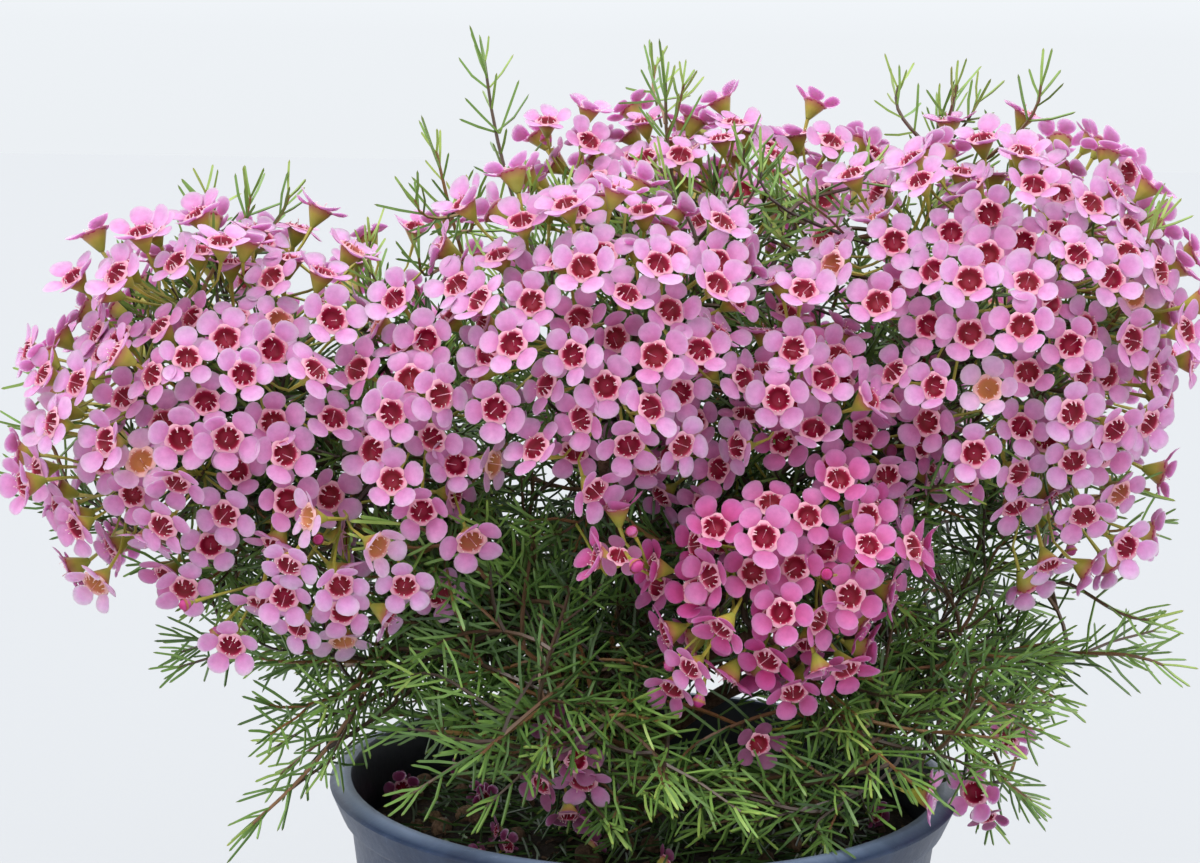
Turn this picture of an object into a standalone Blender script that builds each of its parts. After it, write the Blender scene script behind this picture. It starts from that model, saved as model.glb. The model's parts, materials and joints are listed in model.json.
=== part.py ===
"""A potted waxflower: a shrub of twiggy stems, needle leaves and five-petalled blooms, in a nursery pot.

The pot stands on the ground plane with its axis on Z. The plant's front looks along -Y. Sizes are in metres.
"""

import bmesh
import bpy
import math
import random
from mathutils import Matrix, Vector
from mathutils.bvhtree import BVHTree

# Pot
POT_HEIGHT = 0.190
POT_SIDES = 24
POT_BASE_RADIUS = 0.071
POT_BASE_CHAMFER = 0.0015
POT_NECK_RADIUS = 0.0936
POT_RIM_RADIUS = 0.100
POT_MOUTH_RADIUS = 0.093
POT_LIP_RADIUS = 0.0955
POT_WALL = 0.0017
POT_FLOOR = 0.0025
POT_SKIRT = 0.0098
POT_SKIRT_TAPER = 0.0038
POT_RIM_DROP = 0.0018
DRAIN_HOLES = 6
DRAIN_RADIUS = 0.006
DRAIN_CIRCLE = 0.046
DRAIN_SIDES = 6

# Soil
SOIL_LEVEL = 0.171
SOIL_SWELL = 0.0035
SOIL_RINGS = 4
SOIL_CROWN = 0.018
CAPSULES = 9
CAPSULE_SIZE = 0.0036
LUMP_CORNERS = ((1, 0, 0), (-1, 0, 0), (0, 1, 0), (0, -1, 0), (0, 0, 0.9), (0, 0, -0.9))
LUMP_FACES = ((0, 2, 4), (2, 1, 4), (1, 3, 4), (3, 0, 4), (2, 0, 5), (1, 2, 5), (3, 1, 5), (0, 3, 5))

# Gap between pieces that touch
SEAT_GAP = 0.0003

# Wood: the stem's root end, its fork, and where each limb ends
ROOT_END = Vector((0.000, 0.004, 0.105))
FORK = Vector((-0.004, 0.003, 0.216))
STEM_RADIUS = 0.0062
STEM_SIDES = 6
LIMB_RADIUS = 0.0034
LIMB_TIP_RADIUS = 0.0025
LIMB_SIDES = 4
LIMB_STAGGER = 0.0036
SEAT_SHARES = (0.15, 0.3, 0.45, 0.6, 0.75, 0.9)
SEAT_TURN = 0.022
LEAST_TWIG = 0.018
SHARPEST_BEND = 58
LIMB_ENDS = {
    "left": (-0.098, -0.032, 0.278),
    "left_back": (-0.078, 0.050, 0.286),
    "centre": (-0.014, -0.046, 0.296),
    "right": (0.086, -0.024, 0.292),
    "right_back": (0.092, 0.056, 0.290),
    "top": (0.016, 0.054, 0.318),
    "low": (0.034, -0.040, 0.246),
    "low_left": (-0.082, -0.026, 0.246),
    "low_right": (0.088, 0.000, 0.242),
    "low_back": (0.004, 0.078, 0.246),
    "low_front": (-0.030, -0.054, 0.240),
}

# Domes of bloom: centre, radii, the way that they look, how far round they go in degrees, and their blooms
DOMES = {
    "left": ((-0.124, -0.026, 0.304), (0.066, 0.060, 0.063), (-0.34, -0.85, 0.40), 90, 95),
    "centre": ((-0.016, -0.040, 0.330), (0.054, 0.054, 0.052), (0.00, -0.85, 0.50), 86, 64),
    "right": ((0.100, -0.020, 0.332), (0.066, 0.058, 0.066), (0.32, -0.82, 0.44), 90, 96),
    "low": ((0.036, -0.042, 0.272), (0.046, 0.050, 0.042), (0.10, -0.96, -0.22), 76, 44),
    "left_middle": ((-0.066, -0.044, 0.308), (0.036, 0.044, 0.046), (0.00, -0.90, 0.42), 74, 30),
    "right_middle": ((0.042, -0.036, 0.314), (0.036, 0.046, 0.050), (0.00, -0.90, 0.42), 74, 28),
    "top": ((0.022, 0.050, 0.355), (0.072, 0.052, 0.050), (0.00, -0.10, 1.00), 80, 57),
    "left_back": ((-0.080, 0.042, 0.308), (0.076, 0.064, 0.060), (-0.44, 0.76, 0.46), 84, 37),
    "right_back": ((0.104, 0.046, 0.316), (0.070, 0.064, 0.062), (0.44, 0.76, 0.46), 84, 36),
}
DOME_LUMP = 0.05
HEAD_SHIFT = 0.0035
STRAY_BLOOMS = {
    "rim": (0.083, -0.056, 0.200),
    "right_a": (0.101, -0.030, 0.193),
    "right_b": (0.112, -0.020, 0.208),
    "front": (-0.019, -0.064, 0.205),
}
DOME_SHELL = 0.92
BLOOM_SPACE = 0.014
LEAST_SPACE = 0.0105
BLOOMS_A_HEAD = 11
HEAD_DEPTH = 0.019
LAYER_STEP = 0.0052
LAYER_PETALS = (5, 3, 3)

# Blooms and needles
BLOOM_RADIUS = 0.0083
NOTCH = 0.60
PETAL_RISE = 0.0016
CALYX_DEPTH = 0.0056
CALYX_NECK = 0.0017
STALK_SPREAD = 0.30
STALK_SINK = 0.0012
CORE_RADIUS = 0.0046
CORE_BACK = 0.009
CORE_FRONT = 0.005
STRAY_PETALS = 5
STRAY_STALK = 0.012
STRAY_STEP = 0.004
STRAY_LEAN = 0.006
STRAY_FOLLOW = 1.3
STRAY_LOOK = (0.0, -1.0, 0.25)
BLOOM_TRIES = 16
TWIG_RADIUS = 0.0015
TWIG_SIDES = 4
TWIG_POINT = 0.004
TWIG_SPANS = 2
SPRIG_SPANS = 3
LIMB_SPANS = 3
NEEDLE_LENGTH = 0.025
NEEDLE_RADIUS = 0.0006
NEEDLES_A_SPRAY = 2
SPRIG_PAIRS = 5
SPRIG_LEVEL = 0.27
SPRIG_LIFT = 5.0
TUFT = 0.018
NEEDLE_START = 0.0015
SPRIG_LEAFY = 0.7
NEEDLE_LEAN = 48
NEEDLE_TIP_LEAN = 22
CLEARANCE = 0.00035
CELL = 0.012

# Leafy sprigs: where each tip is
SPRIG_TIPS = {
    "top_left": (-0.058, 0.060, 0.428),
    "top_far_left": (-0.072, 0.020, 0.398),
    "top_middle": (0.004, 0.030, 0.421),
    "top_right": (0.100, 0.055, 0.412),
    "left": (-0.203, 0.000, 0.278),
    "left_low": (-0.160, 0.005, 0.226),
    "front_left": (-0.126, -0.060, 0.180),
    "front": (-0.052, -0.104, 0.218),
    "front_middle": (0.006, -0.100, 0.206),
    "front_right": (0.084, -0.082, 0.204),
    "right_low": (0.163, -0.018, 0.232),
    "right_lower": (0.132, -0.010, 0.176),
    "back_left": (-0.120, 0.110, 0.236),
    "back": (0.010, 0.140, 0.250),
    "back_right": (0.130, 0.105, 0.228),
}

SEED = 7


def unit(vector):
    return Vector(vector).normalized()


def across(direction):
    """Two unit vectors square to a direction and to each other."""
    helper = Vector((0, 0, 1)) if abs(direction.z) < 0.9 else Vector((1, 0, 0))
    side = direction.cross(helper).normalized()
    return side, direction.cross(side)


def curve_point(points, t):
    """A point on a cubic curve through its first and last point, pulled by the two between."""
    a, b, c, d = points
    s = 1 - t
    return a * s**3 + b * (3 * s * s * t) + c * (3 * s * t * t) + d * t**3


def curve_points(points, steps):
    return [curve_point(points, i / steps) for i in range(steps + 1)]


def ring(centre, direction, radius, sides, turn=0.0):
    side, other = across(direction)
    angles = [turn + 2 * math.pi * i / sides for i in range(sides)]
    return [centre + (side * math.cos(a) + other * math.sin(a)) * radius for a in angles]


def tube(path, radii, sides, grow=0.0, start=None):
    """A closed tube along a path, as points and faces. A last radius of 0 makes a point."""
    last = len(path) - 1
    pointed = radii[-1] == 0
    points = []
    for i, centre in enumerate(path[:last] if pointed else path):
        direction = (path[min(i + 1, last)] - path[max(i - 1, 0)]).normalized()
        if i == 0 and start:
            direction = start
        loop = ring(centre, direction, radii[i] + grow, sides)
        if points:
            loop = aligned(loop, points[-sides:])
        points += loop
    if not pointed:
        return points, tube_faces(last, sides)
    base = (last - 1) * sides
    faces = tube_faces(last - 1, sides)[:-1]
    faces += [(base + j, base + (j + 1) % sides, last * sides) for j in range(sides)]
    return points + [path[last]], faces


def aligned(loop, before):
    """The loop, started at the point that looks most nearly the way that the loop before it starts."""
    middle = sum(loop, Vector()) / len(loop)
    way = before[0] - sum(before, Vector()) / len(before)
    start = max(range(len(loop)), key=lambda i: (loop[i] - middle).dot(way))
    return loop[start:] + loop[:start]


def tube_faces(spans, sides):
    faces = [tuple(reversed(range(sides)))]
    for i in range(spans):
        for j in range(sides):
            k = (j + 1) % sides
            a = i * sides
            b = a + sides
            faces.append((a + j, a + k, b + k, b + j))
    faces.append(tuple(range(spans * sides, spans * sides + sides)))
    return faces


def needle(root, tip, grow=0.0):
    """A three-sided leaf, as points and faces, from its root in the twig to its sharp tip."""
    points = ring(root, (tip - root).normalized(), NEEDLE_RADIUS + grow, 3) + [tip]
    return points, [(2, 1, 0), (0, 1, 3), (1, 2, 3), (2, 0, 3)]


def bloom(centre, facing, turn, size, root, petals, grow=0.0):
    """A bloom, as points and faces: petals round a flat middle, a funnel calyx, and a stalk to its root."""
    side, other = across(facing)
    radius = BLOOM_RADIUS * size + grow
    count = 2 * petals
    rim = []
    for i in range(count):
        angle = turn + math.pi * i / petals
        reach = radius if i % 2 == 0 else radius * NOTCH
        lift = facing * (grow + (PETAL_RISE if i % 2 == 0 else 0))
        rim.append(centre + (side * math.cos(angle) + other * math.sin(angle)) * reach + lift)
    neck = ring(centre - facing * CALYX_DEPTH, facing, CALYX_NECK + grow, 3, turn)
    faces = [tuple(range(1, count, 2))]
    faces += [((i - 1) % count, i, i + 1) for i in range(0, count, 2)]
    faces += band(count)
    faces += [(count + (i + 1) % 3, count + i, count + 3) for i in range(3)]
    return rim + neck + [root], faces


def band(count):
    """Triangles between a rim, whose points come first, and the three points of the neck after them."""
    faces = []
    for k in range(3):
        last = round((k + 1) * count / 3)
        for i in range(round(k * count / 3), last):
            faces.append(((i + 1) % count, i, count + k))
        faces.append((count + k, count + (k + 1) % 3, last % count))
    return faces


class Thicket:
    """The shapes already placed, kept by place, so that a new shape can be held clear of them."""

    def __init__(self):
        self.cells = {}

    def keys(self, points):
        low = [math.floor(min(p[i] for p in points) / CELL) for i in range(3)]
        high = [math.floor(max(p[i] for p in points) / CELL) for i in range(3)]
        for x in range(low[0], high[0] + 1):
            for y in range(low[1], high[1] + 1):
                for z in range(low[2], high[2] + 1):
                    yield x, y, z

    def add(self, shape, owner):
        entry = (owner, BVHTree.FromPolygons(*shape))
        for key in self.keys(shape[0]):
            self.cells.setdefault(key, []).append(entry)

    def clear(self, shape, *skip):
        """True if the shape crosses nothing but what the skipped owners placed."""
        tree = BVHTree.FromPolygons(*shape)
        seen = set()
        for key in self.keys(shape[0]):
            for owner, other in self.cells.get(key, ()):
                if owner in skip or id(other) in seen:
                    continue
                seen.add(id(other))
                if tree.overlap(other):
                    return False
        return True


def own(name):
    """The owners that stand for a spray's own twig, blooms and needles."""
    return name, name + " bloom", name + " needle"


def drift(draw, size):
    """A small random vector."""
    return Vector((draw.gauss(0, 1), draw.gauss(0, 1), draw.gauss(0, 1))) * size


def dome_points(name):
    """Places on the part of a dome that bears blooms, with the ways they look, densest at its middle."""
    centre, radii, way, reach, count = DOMES[name]
    way = unit(way)
    side, other = across(way)
    edge = math.cos(math.radians(reach))
    even = 0.5 / (1 - edge)
    crowded = 0.5 / (1 - edge**2)
    for i in range(count):
        share = (i + 0.5) / count
        height = (math.sqrt(even**2 - 4 * crowded * (share - even - crowded)) - even) / (2 * crowded)
        flat = math.sqrt(1 - height**2)
        angle = i * math.pi * (3 - math.sqrt(5))
        place = way * height + (side * math.cos(angle) + other * math.sin(angle)) * flat
        lump = 1 + DOME_LUMP * math.sin(3 * angle + 7 * height)
        normal = unit([place[k] / radii[k] for k in range(3)])
        yield Vector([centre[k] + place[k] * radii[k] * lump for k in range(3)]), normal


def inside_dome(point, name):
    centre, radii = DOMES[name][:2]
    scaled = [(point[k] - centre[k]) / radii[k] for k in range(3)]
    return Vector(scaled).length < DOME_SHELL


def bloom_spots():
    """Every bloom's place and outward way, dome by dome, spaced apart and set in three layers."""
    spots = []
    for name in DOMES:
        for point, normal in dome_points(name):
            if any(inside_dome(point, other) for other in DOMES if other != name):
                continue
            near = [spot for spot in spots if (spot["surface"] - point).length < 2 * BLOOM_SPACE]
            if any((spot["surface"] - point).length < LEAST_SPACE for spot in near):
                continue
            crowd = [0.0, 0.0, 0.0]
            for spot in near:
                crowd[spot["layer"]] += BLOOM_SPACE / (spot["surface"] - point).length
            layer = crowd.index(min(crowd))
            place = point - normal * layer * LAYER_STEP
            spots.append({"dome": name, "surface": point, "point": place, "normal": normal, "layer": layer})
    return spots


def gather(spots):
    """The spots of one dome, gathered into heads of about equal size."""
    count = max(1, round(len(spots) / BLOOMS_A_HEAD))
    middles = [spots[0]["surface"]]
    while len(middles) < count:
        far = max(spots, key=lambda s: min((s["surface"] - m).length for m in middles))
        middles.append(far["surface"])
    for _ in range(12):
        groups = [[] for _ in middles]
        for spot in spots:
            nearest = min(range(count), key=lambda k: (spot["surface"] - middles[k]).length)
            groups[nearest].append(spot)
        middles = [
            sum((s["surface"] for s in group), Vector()) / len(group) if group else middles[k]
            for k, group in enumerate(groups)
        ]
    return [group for group in groups if group]


def limb_curves():
    """The limbs' curves: each leaves the stem lower down the lower its end is, rises, and then spreads."""
    ends = sorted((Vector(end) for end in LIMB_ENDS.values()), key=lambda end: -end.z)
    curves = []
    for i, end in enumerate(ends):
        foot = FORK - Vector((0, 0, LIMB_STAGGER * i))
        out = end - foot
        rise = Vector((0, 0, out.length))
        curves.append([foot, foot + rise * 0.22 + out * 0.12, foot + out * 0.62 + rise * 0.06, end])
    return curves


def limb_shape(curve):
    radii = [LIMB_RADIUS + (LIMB_TIP_RADIUS - LIMB_RADIUS) * i / LIMB_SPANS for i in range(LIMB_SPANS + 1)]
    return tube(curve_points(curve, LIMB_SPANS), radii, LIMB_SIDES)


def stem_shape():
    path = stem_path()
    return tube(path, [STEM_RADIUS] * 2 + [STEM_RADIUS * 0.85] * (len(path) - 2), STEM_SIDES)


def stem_path():
    base = Vector((ROOT_END.x, ROOT_END.y, SOIL_LEVEL))
    return [ROOT_END, base, (base + FORK) / 2 + Vector((0.0012, 0, 0)), FORK, FORK + Vector((0, 0, 0.004))]


def limb_seats(target):
    """Flat places on the limbs' sides where a twig for this target could sit, best first, with normals."""
    seats = []
    for curve in limb_curves():
        points = limb_shape(curve)[0]
        for first in range(LIMB_SIDES * LIMB_SPANS):
            row = first // LIMB_SIDES * LIMB_SIDES
            second = row + (first + 1) % LIMB_SIDES
            foot = (points[first] + points[second]) / 2
            head = (points[first + LIMB_SIDES] + points[second + LIMB_SIDES]) / 2
            normal = (points[second] - points[first]).cross(head - foot).normalized()
            for share in SEAT_SHARES:
                point = foot + (head - foot) * share
                turn = 1 - normal.dot((target - point).normalized())
                seats.append(((target - point).length + SEAT_TURN * turn, point, normal))
    seats.sort(key=lambda seat: seat[0])
    return [seat[1:] for seat in seats]


def sharpest_bend(way, path, end_way):
    """The largest angle at which a path turns, from the way that it starts to the way that it should end."""
    ways = [way] + [after - before for before, after in zip(path, path[1:])] + [end_way]
    return max(before.angle(after) for before, after in zip(ways, ways[1:]))


def grow_twig(name, end, end_way, spans, thicket, draw):
    """Finds a seat on a limb and a twig from it to its end that cross nothing."""
    for point, way in limb_seats(end):
        seat = point + way * SEAT_GAP
        reach = (end - seat).length
        if reach < LEAST_TWIG:
            continue
        for bend in range(4):
            swerve = drift(draw, 0.004 * bend)
            curve = [seat, seat + way * reach * 0.35 + swerve, end - end_way * reach * 0.35 + swerve, end]
            path = curve_points(curve, spans)
            if sharpest_bend(way, path, end_way) > math.radians(SHARPEST_BEND):
                continue
            lifted = [seat + way * 4 * SEAT_GAP] + path[1:]
            if thicket.clear(tube(lifted, [TWIG_RADIUS] * len(path), TWIG_SIDES, CLEARANCE)):
                return {"name": name, "way": way, "path": path, "blooms": [], "needles": []}
    raise ValueError(f"no way to {name}")


def twig_shape(spray):
    """A twig: it ends in a point, or swells into the slim core that its head's stalks stand out of."""
    path = list(spray["path"])
    radii = [TWIG_RADIUS] * len(path)
    if "hub" in spray:
        path += [spray["hub"], spray["hub"] + spray["normal"] * CORE_FRONT]
        radii += [CORE_RADIUS]
    else:
        path += [path[-1] + (path[-1] - path[-2]).normalized() * TWIG_POINT]
    return tube(path, radii + [0], TWIG_SIDES, start=spray["way"])


def spray_heads():
    """Each flowering spray's name, the place and way of its head, and the spots of its blooms."""
    spots = bloom_spots()
    for dome in DOMES:
        groups = gather([spot for spot in spots if spot["dome"] == dome])
        for number, group in enumerate(groups, 1):
            middle = sum((spot["surface"] for spot in group), Vector()) / len(group)
            normal = unit(sum((spot["normal"] for spot in group), Vector()))
            shift = normal * HEAD_SHIFT * math.sin(5 * number)
            middle += shift
            for spot in group:
                spot["point"] += shift
            yield f"spray_{dome}_{number}", middle - normal * HEAD_DEPTH, normal, group


def path_length(path):
    return sum((after - before).length for before, after in zip(path, path[1:]))


def path_point(path, back):
    """The point on a path this far back from its end, and the way that the path runs there."""
    for before, after in reversed(list(zip(path, path[1:]))):
        span = (after - before).length
        if back <= span:
            return after + (before - after) * back / span, (after - before) / span
        back -= span
    return path[0], (path[1] - path[0]).normalized()


def stalk_root(spray, centre):
    """Where a bloom's stalk starts inside the core of its head: further back for one that stands aside."""
    offset = centre - spray["hub"]
    height = offset.dot(spray["normal"])
    sideways = offset - spray["normal"] * height
    back = min(CORE_BACK * 0.8, STALK_SPREAD * sideways.length)
    sink = min(STALK_SINK, sideways.length / 2)
    return spray["hub"] - spray["normal"] * back - sideways.normalized() * sink


def add_bloom(spray, flower, thicket):
    thicket.add(bloom(*flower), spray["name"] + " bloom")
    spray["blooms"].append(flower)


def place_bloom(spray, spot, thicket, draw):
    """Tries a bloom at its spot, then turned, moved and shrunk a little, until it crosses nothing."""
    name = spray["name"]
    petals = LAYER_PETALS[spot["layer"]]
    for attempt in range(BLOOM_TRIES):
        loose = attempt / BLOOM_TRIES
        facing = unit(spot["normal"] + spray["normal"] * 0.25 + drift(draw, 0.13 + 0.16 * loose))
        centre = spot["point"] + drift(draw, 0.0004 + 0.0022 * loose)
        size = draw.uniform(0.94, 1.04) - 0.14 * loose
        turn = draw.uniform(0, 2 * math.pi)
        root = stalk_root(spray, centre)
        out = root + (centre - root).normalized() * (CORE_RADIUS + 2 * STALK_SINK)
        if not thicket.clear(bloom(centre, facing, turn, size, out, petals, CLEARANCE), name):
            continue
        if not thicket.clear(bloom(centre, facing, turn, size, root, petals, CLEARANCE), *own(name)):
            continue
        add_bloom(spray, (centre, facing, turn, size, root, petals), thicket)
        return True
    return False


def place_needle(spray, root, way, length, thicket):
    """Adds a needle if it crosses nothing but the twig that it grows from."""
    name = spray["name"]
    tip = root + way * length
    outer = needle(root + way * 2 * TWIG_RADIUS, tip + way * CLEARANCE, CLEARANCE)
    if not thicket.clear(outer, name):
        return False
    if not thicket.clear(needle(root, tip, CLEARANCE), *own(name)):
        return False
    thicket.add(needle(root, tip), name + " needle")
    spray["needles"].append((root, tip))
    return True


def needle_way(along, azimuth, lean):
    side, other = across(along)
    out = side * math.cos(azimuth) + other * math.sin(azimuth)
    return unit(along * math.cos(lean) + out * math.sin(lean))


def needle_pairs(spray, thicket, draw):
    """Opposite pairs of needles along a leafy twig, each a quarter turn on, to a tuft at the tip."""
    path = spray["path"]
    step = path_length(path) * SPRIG_LEAFY / SPRIG_PAIRS
    for pair in range(SPRIG_PAIRS):
        root, along = path_point(path, NEEDLE_START + pair * step)
        lean = math.radians(NEEDLE_TIP_LEAN + (NEEDLE_LEAN - NEEDLE_TIP_LEAN) * min(1, pair / 2))
        for half in (0, math.pi):
            for _ in range(4):
                azimuth = pair * math.pi / 2 + half + draw.uniform(-0.35, 0.35)
                length = NEEDLE_LENGTH * draw.uniform(0.85, 1.1)
                if place_needle(spray, root, needle_way(along, azimuth, lean), length, thicket):
                    break


def spray_needles(spray, thicket, draw):
    """A few needles round a flowering twig, up among its stalks."""
    path = spray["path"]
    placed = 0
    for _ in range(30):
        root, along = path_point(path, draw.uniform(0.03, 0.4) * path_length(path))
        way = needle_way(along, draw.uniform(0, 2 * math.pi), math.radians(draw.uniform(20, 60)))
        placed += place_needle(spray, root, way, NEEDLE_LENGTH * draw.uniform(0.85, 1.1), thicket)
        if placed == NEEDLES_A_SPRAY:
            break


def stray_roots(sprigs, place):
    """Points on the leafy twigs where a stray bloom's stalk could grow, with their twigs, the best first."""
    found = []
    for sprig in sprigs:
        for step in range(2, 16):
            point, along = path_point(sprig["path"], STRAY_STEP * step)
            gap = abs((place - point).length - STRAY_STALK)
            lean = abs(along.dot((place - point).normalized()))
            found.append((gap + STRAY_LEAN * lean, sprig, point))
    found.sort(key=lambda entry: entry[0])
    return [entry[1:] for entry in found]


def place_stray(sprigs, place, thicket, draw):
    for sprig, root in stray_roots(sprigs, place):
        along = (place - root).normalized()
        facing = unit(along * STRAY_FOLLOW + Vector(STRAY_LOOK) + drift(draw, 0.1))
        turn = draw.uniform(0, 2 * math.pi)
        whole = bloom(place, facing, turn, 1.0, root, STRAY_PETALS, CLEARANCE)
        upper = bloom(place, facing, turn, 1.0, root + along * STRAY_STEP, STRAY_PETALS, CLEARANCE)
        if thicket.clear(whole, sprig["name"]) and thicket.clear(upper):
            sunk = root - along * STALK_SINK / 2
            add_bloom(sprig, (place, facing, turn, 1.0, sunk, STRAY_PETALS), thicket)
            return


def sprig_way(tip):
    """The way that a sprig's tip points: out from the fork, up where it stands high and down where low."""
    return unit(unit(tip - FORK) + Vector((0, 0, (tip.z - SPRIG_LEVEL) * SPRIG_LIFT)))


def plan_bush():
    """Every spray and sprig of the bush, with the curve of its twig, its blooms and its needles."""
    draw = random.Random(SEED)
    thicket = Thicket()
    thicket.add(pot_shape(), "pot")
    thicket.add(soil_shape(), "soil")
    thicket.add(stem_shape(), "wood")
    for curve in limb_curves():
        thicket.add(limb_shape(curve), "wood")
    sprays = []
    waiting = []
    for name, hub, normal, group in spray_heads():
        spray = grow_twig(name, hub - normal * CORE_BACK, normal, TWIG_SPANS, thicket, draw)
        spray["normal"] = normal
        spray["hub"] = hub
        thicket.add(twig_shape(spray), name)
        sprays.append(spray)
        waiting += [(spot["layer"], spray, spot) for spot in group]
    sprigs = []
    for name, tip in SPRIG_TIPS.items():
        way = sprig_way(Vector(tip))
        sprig = grow_twig(f"sprig_{name}", Vector(tip) - way * TUFT, way, SPRIG_SPANS, thicket, draw)
        thicket.add(twig_shape(sprig), sprig["name"])
        sprigs.append(sprig)
    waiting.sort(key=lambda entry: entry[0])
    lost = sum(not place_bloom(spray, spot, thicket, draw) for layer, spray, spot in waiting)
    for sprig in sprigs:
        needle_pairs(sprig, thicket, draw)
    for place in STRAY_BLOOMS.values():
        place_stray(sprigs, Vector(place), thicket, draw)
    for spray in sprays:
        spray_needles(spray, thicket, draw)
    return sprays, sprigs, lost


def turned(profile, sides):
    """A closed solid turned from an outline of (radius, height) points, outside first."""
    points = []
    for radius, height in profile:
        for i in range(sides):
            angle = 2 * math.pi * i / sides
            points.append(Vector((radius * math.cos(angle), radius * math.sin(angle), height)))
    spans = len(profile) - 1
    faces = [tuple(reversed(range(sides)))]
    for i in range(spans):
        for j in range(sides):
            k = (j + 1) % sides
            faces.append((i * sides + j, i * sides + k, (i + 1) * sides + k, (i + 1) * sides + j))
    faces.append(tuple(range(spans * sides, spans * sides + sides)))
    return points, faces


def inner_radius(height):
    """The radius of the pot's inner wall at a height."""
    share = (height - POT_FLOOR) / (POT_HEIGHT - POT_FLOOR)
    low = POT_BASE_RADIUS - POT_WALL
    return low + (POT_MOUTH_RADIUS - low) * share


def pot_shape():
    top = POT_HEIGHT
    under = POT_HEIGHT - POT_RIM_DROP - POT_SKIRT
    profile = [
        (POT_BASE_RADIUS - POT_BASE_CHAMFER, 0),
        (POT_BASE_RADIUS, POT_BASE_CHAMFER),
        (POT_NECK_RADIUS, under),
        (POT_RIM_RADIUS - POT_SKIRT_TAPER, under),
        (POT_RIM_RADIUS, top - POT_RIM_DROP),
        (POT_LIP_RADIUS, top),
        (POT_MOUTH_RADIUS, top),
        (inner_radius(POT_FLOOR), POT_FLOOR),
    ]
    return turned(profile, POT_SIDES)


def soil_height(radius, angle):
    """The uneven top of the soil: higher round the stem, with soft lumps."""
    lumps = math.sin(3 * angle + radius * 90) + 0.7 * math.sin(7 * angle - radius * 150)
    return SOIL_LEVEL + SOIL_SWELL * (0.6 * lumps * radius / POT_MOUTH_RADIUS + math.cos(radius * 17) - 0.6)


def soil_shape():
    """The soil: a plug that fills the pot up to its uneven top, with a plain hole for the stem."""
    bottom = POT_FLOOR + SEAT_GAP
    hole = STEM_RADIUS + 2 * SEAT_GAP
    hole_floor = ROOT_END.z - SEAT_GAP
    points = []
    edge = inner_radius(SOIL_LEVEL - 0.004) - 1.5 * SEAT_GAP
    rows = [(inner_radius(bottom) - 1.5 * SEAT_GAP, bottom, True)]
    for i in range(SOIL_RINGS):
        radius = edge + (SOIL_CROWN - edge) * i / (SOIL_RINGS - 1)
        rows.append((radius, None, True))
    rows.append((hole, None, False))
    rows.append((hole, hole_floor, False))
    for radius, height, centred in rows:
        middle = Vector((0, 0, 0)) if centred else Vector((ROOT_END.x, ROOT_END.y, 0))
        for i in range(POT_SIDES):
            angle = 2 * math.pi * i / POT_SIDES
            point = middle + Vector((radius * math.cos(angle), radius * math.sin(angle), 0))
            point.z = height if height is not None else soil_height(radius, angle)
            points.append(point)
    spans = len(rows) - 1
    faces = [tuple(reversed(range(POT_SIDES)))]
    for i in range(spans):
        for j in range(POT_SIDES):
            k = (j + 1) % POT_SIDES
            a = i * POT_SIDES
            b = a + POT_SIDES
            faces.append((a + j, a + k, b + k))
            faces.append((a + j, b + k, b + j))
    faces.append(tuple(range(spans * POT_SIDES, spans * POT_SIDES + POT_SIDES)))
    return points, faces


def capsule_shapes(draw):
    """Old seed capsules that lie on the soil, as small eight-faced lumps half sunk in it."""
    shapes = []
    for i in range(CAPSULES):
        radius = math.sqrt(draw.uniform(0.06, 0.86)) * POT_MOUTH_RADIUS * 0.93
        angle = i * math.pi * (3 - math.sqrt(5))
        place = Vector((radius * math.cos(angle), radius * math.sin(angle), 0))
        place.z = soil_height(radius, angle) + 0.3 * CAPSULE_SIZE
        spin = Matrix.Rotation(draw.uniform(0, math.pi), 3, "Z")
        tilt = Matrix.Rotation(draw.uniform(-0.4, 0.4), 3, "X")
        size = CAPSULE_SIZE * draw.uniform(0.8, 1.15)
        shapes.append(([place + spin @ tilt @ Vector(corner) * size for corner in LUMP_CORNERS], LUMP_FACES))
    return shapes


def material(name, colour, roughness):
    made = bpy.data.materials.new(name)
    made.use_nodes = True
    shader = made.node_tree.nodes["Principled BSDF"]
    shader.inputs["Base Color"].default_value = (*colour, 1)
    shader.inputs["Roughness"].default_value = roughness
    shader.inputs["Metallic"].default_value = 0.0
    made.diffuse_color = (*colour, 1)
    return made


def mesh_object(name, shape, look=None):
    mesh = bpy.data.meshes.new(name)
    mesh.from_pydata([tuple(point) for point in shape[0]], [], shape[1])
    mesh.update()
    made = bpy.data.objects.new(name, mesh)
    bpy.context.scene.collection.objects.link(made)
    if look:
        mesh.materials.append(look)
    return made


def islands(surface):
    """The mesh's separate shells, each as a set of its points."""
    waiting = set(surface.verts)
    found = []
    while waiting:
        island = {waiting.pop()}
        edge = list(island)
        while edge:
            point = edge.pop()
            for link in point.link_edges:
                other = link.other_vert(point)
                if other in waiting:
                    waiting.remove(other)
                    island.add(other)
                    edge.append(other)
        found.append(island)
    return found


def keep_largest(mesh):
    """Leaves only the largest shell, which fills any sealed hollow and drops any loose scrap."""
    surface = bmesh.new()
    surface.from_mesh(mesh)
    found = sorted(islands(surface), key=len)
    for island in found[:-1]:
        bmesh.ops.delete(surface, geom=list(island), context="VERTS")
    surface.to_mesh(mesh)
    surface.free()


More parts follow.
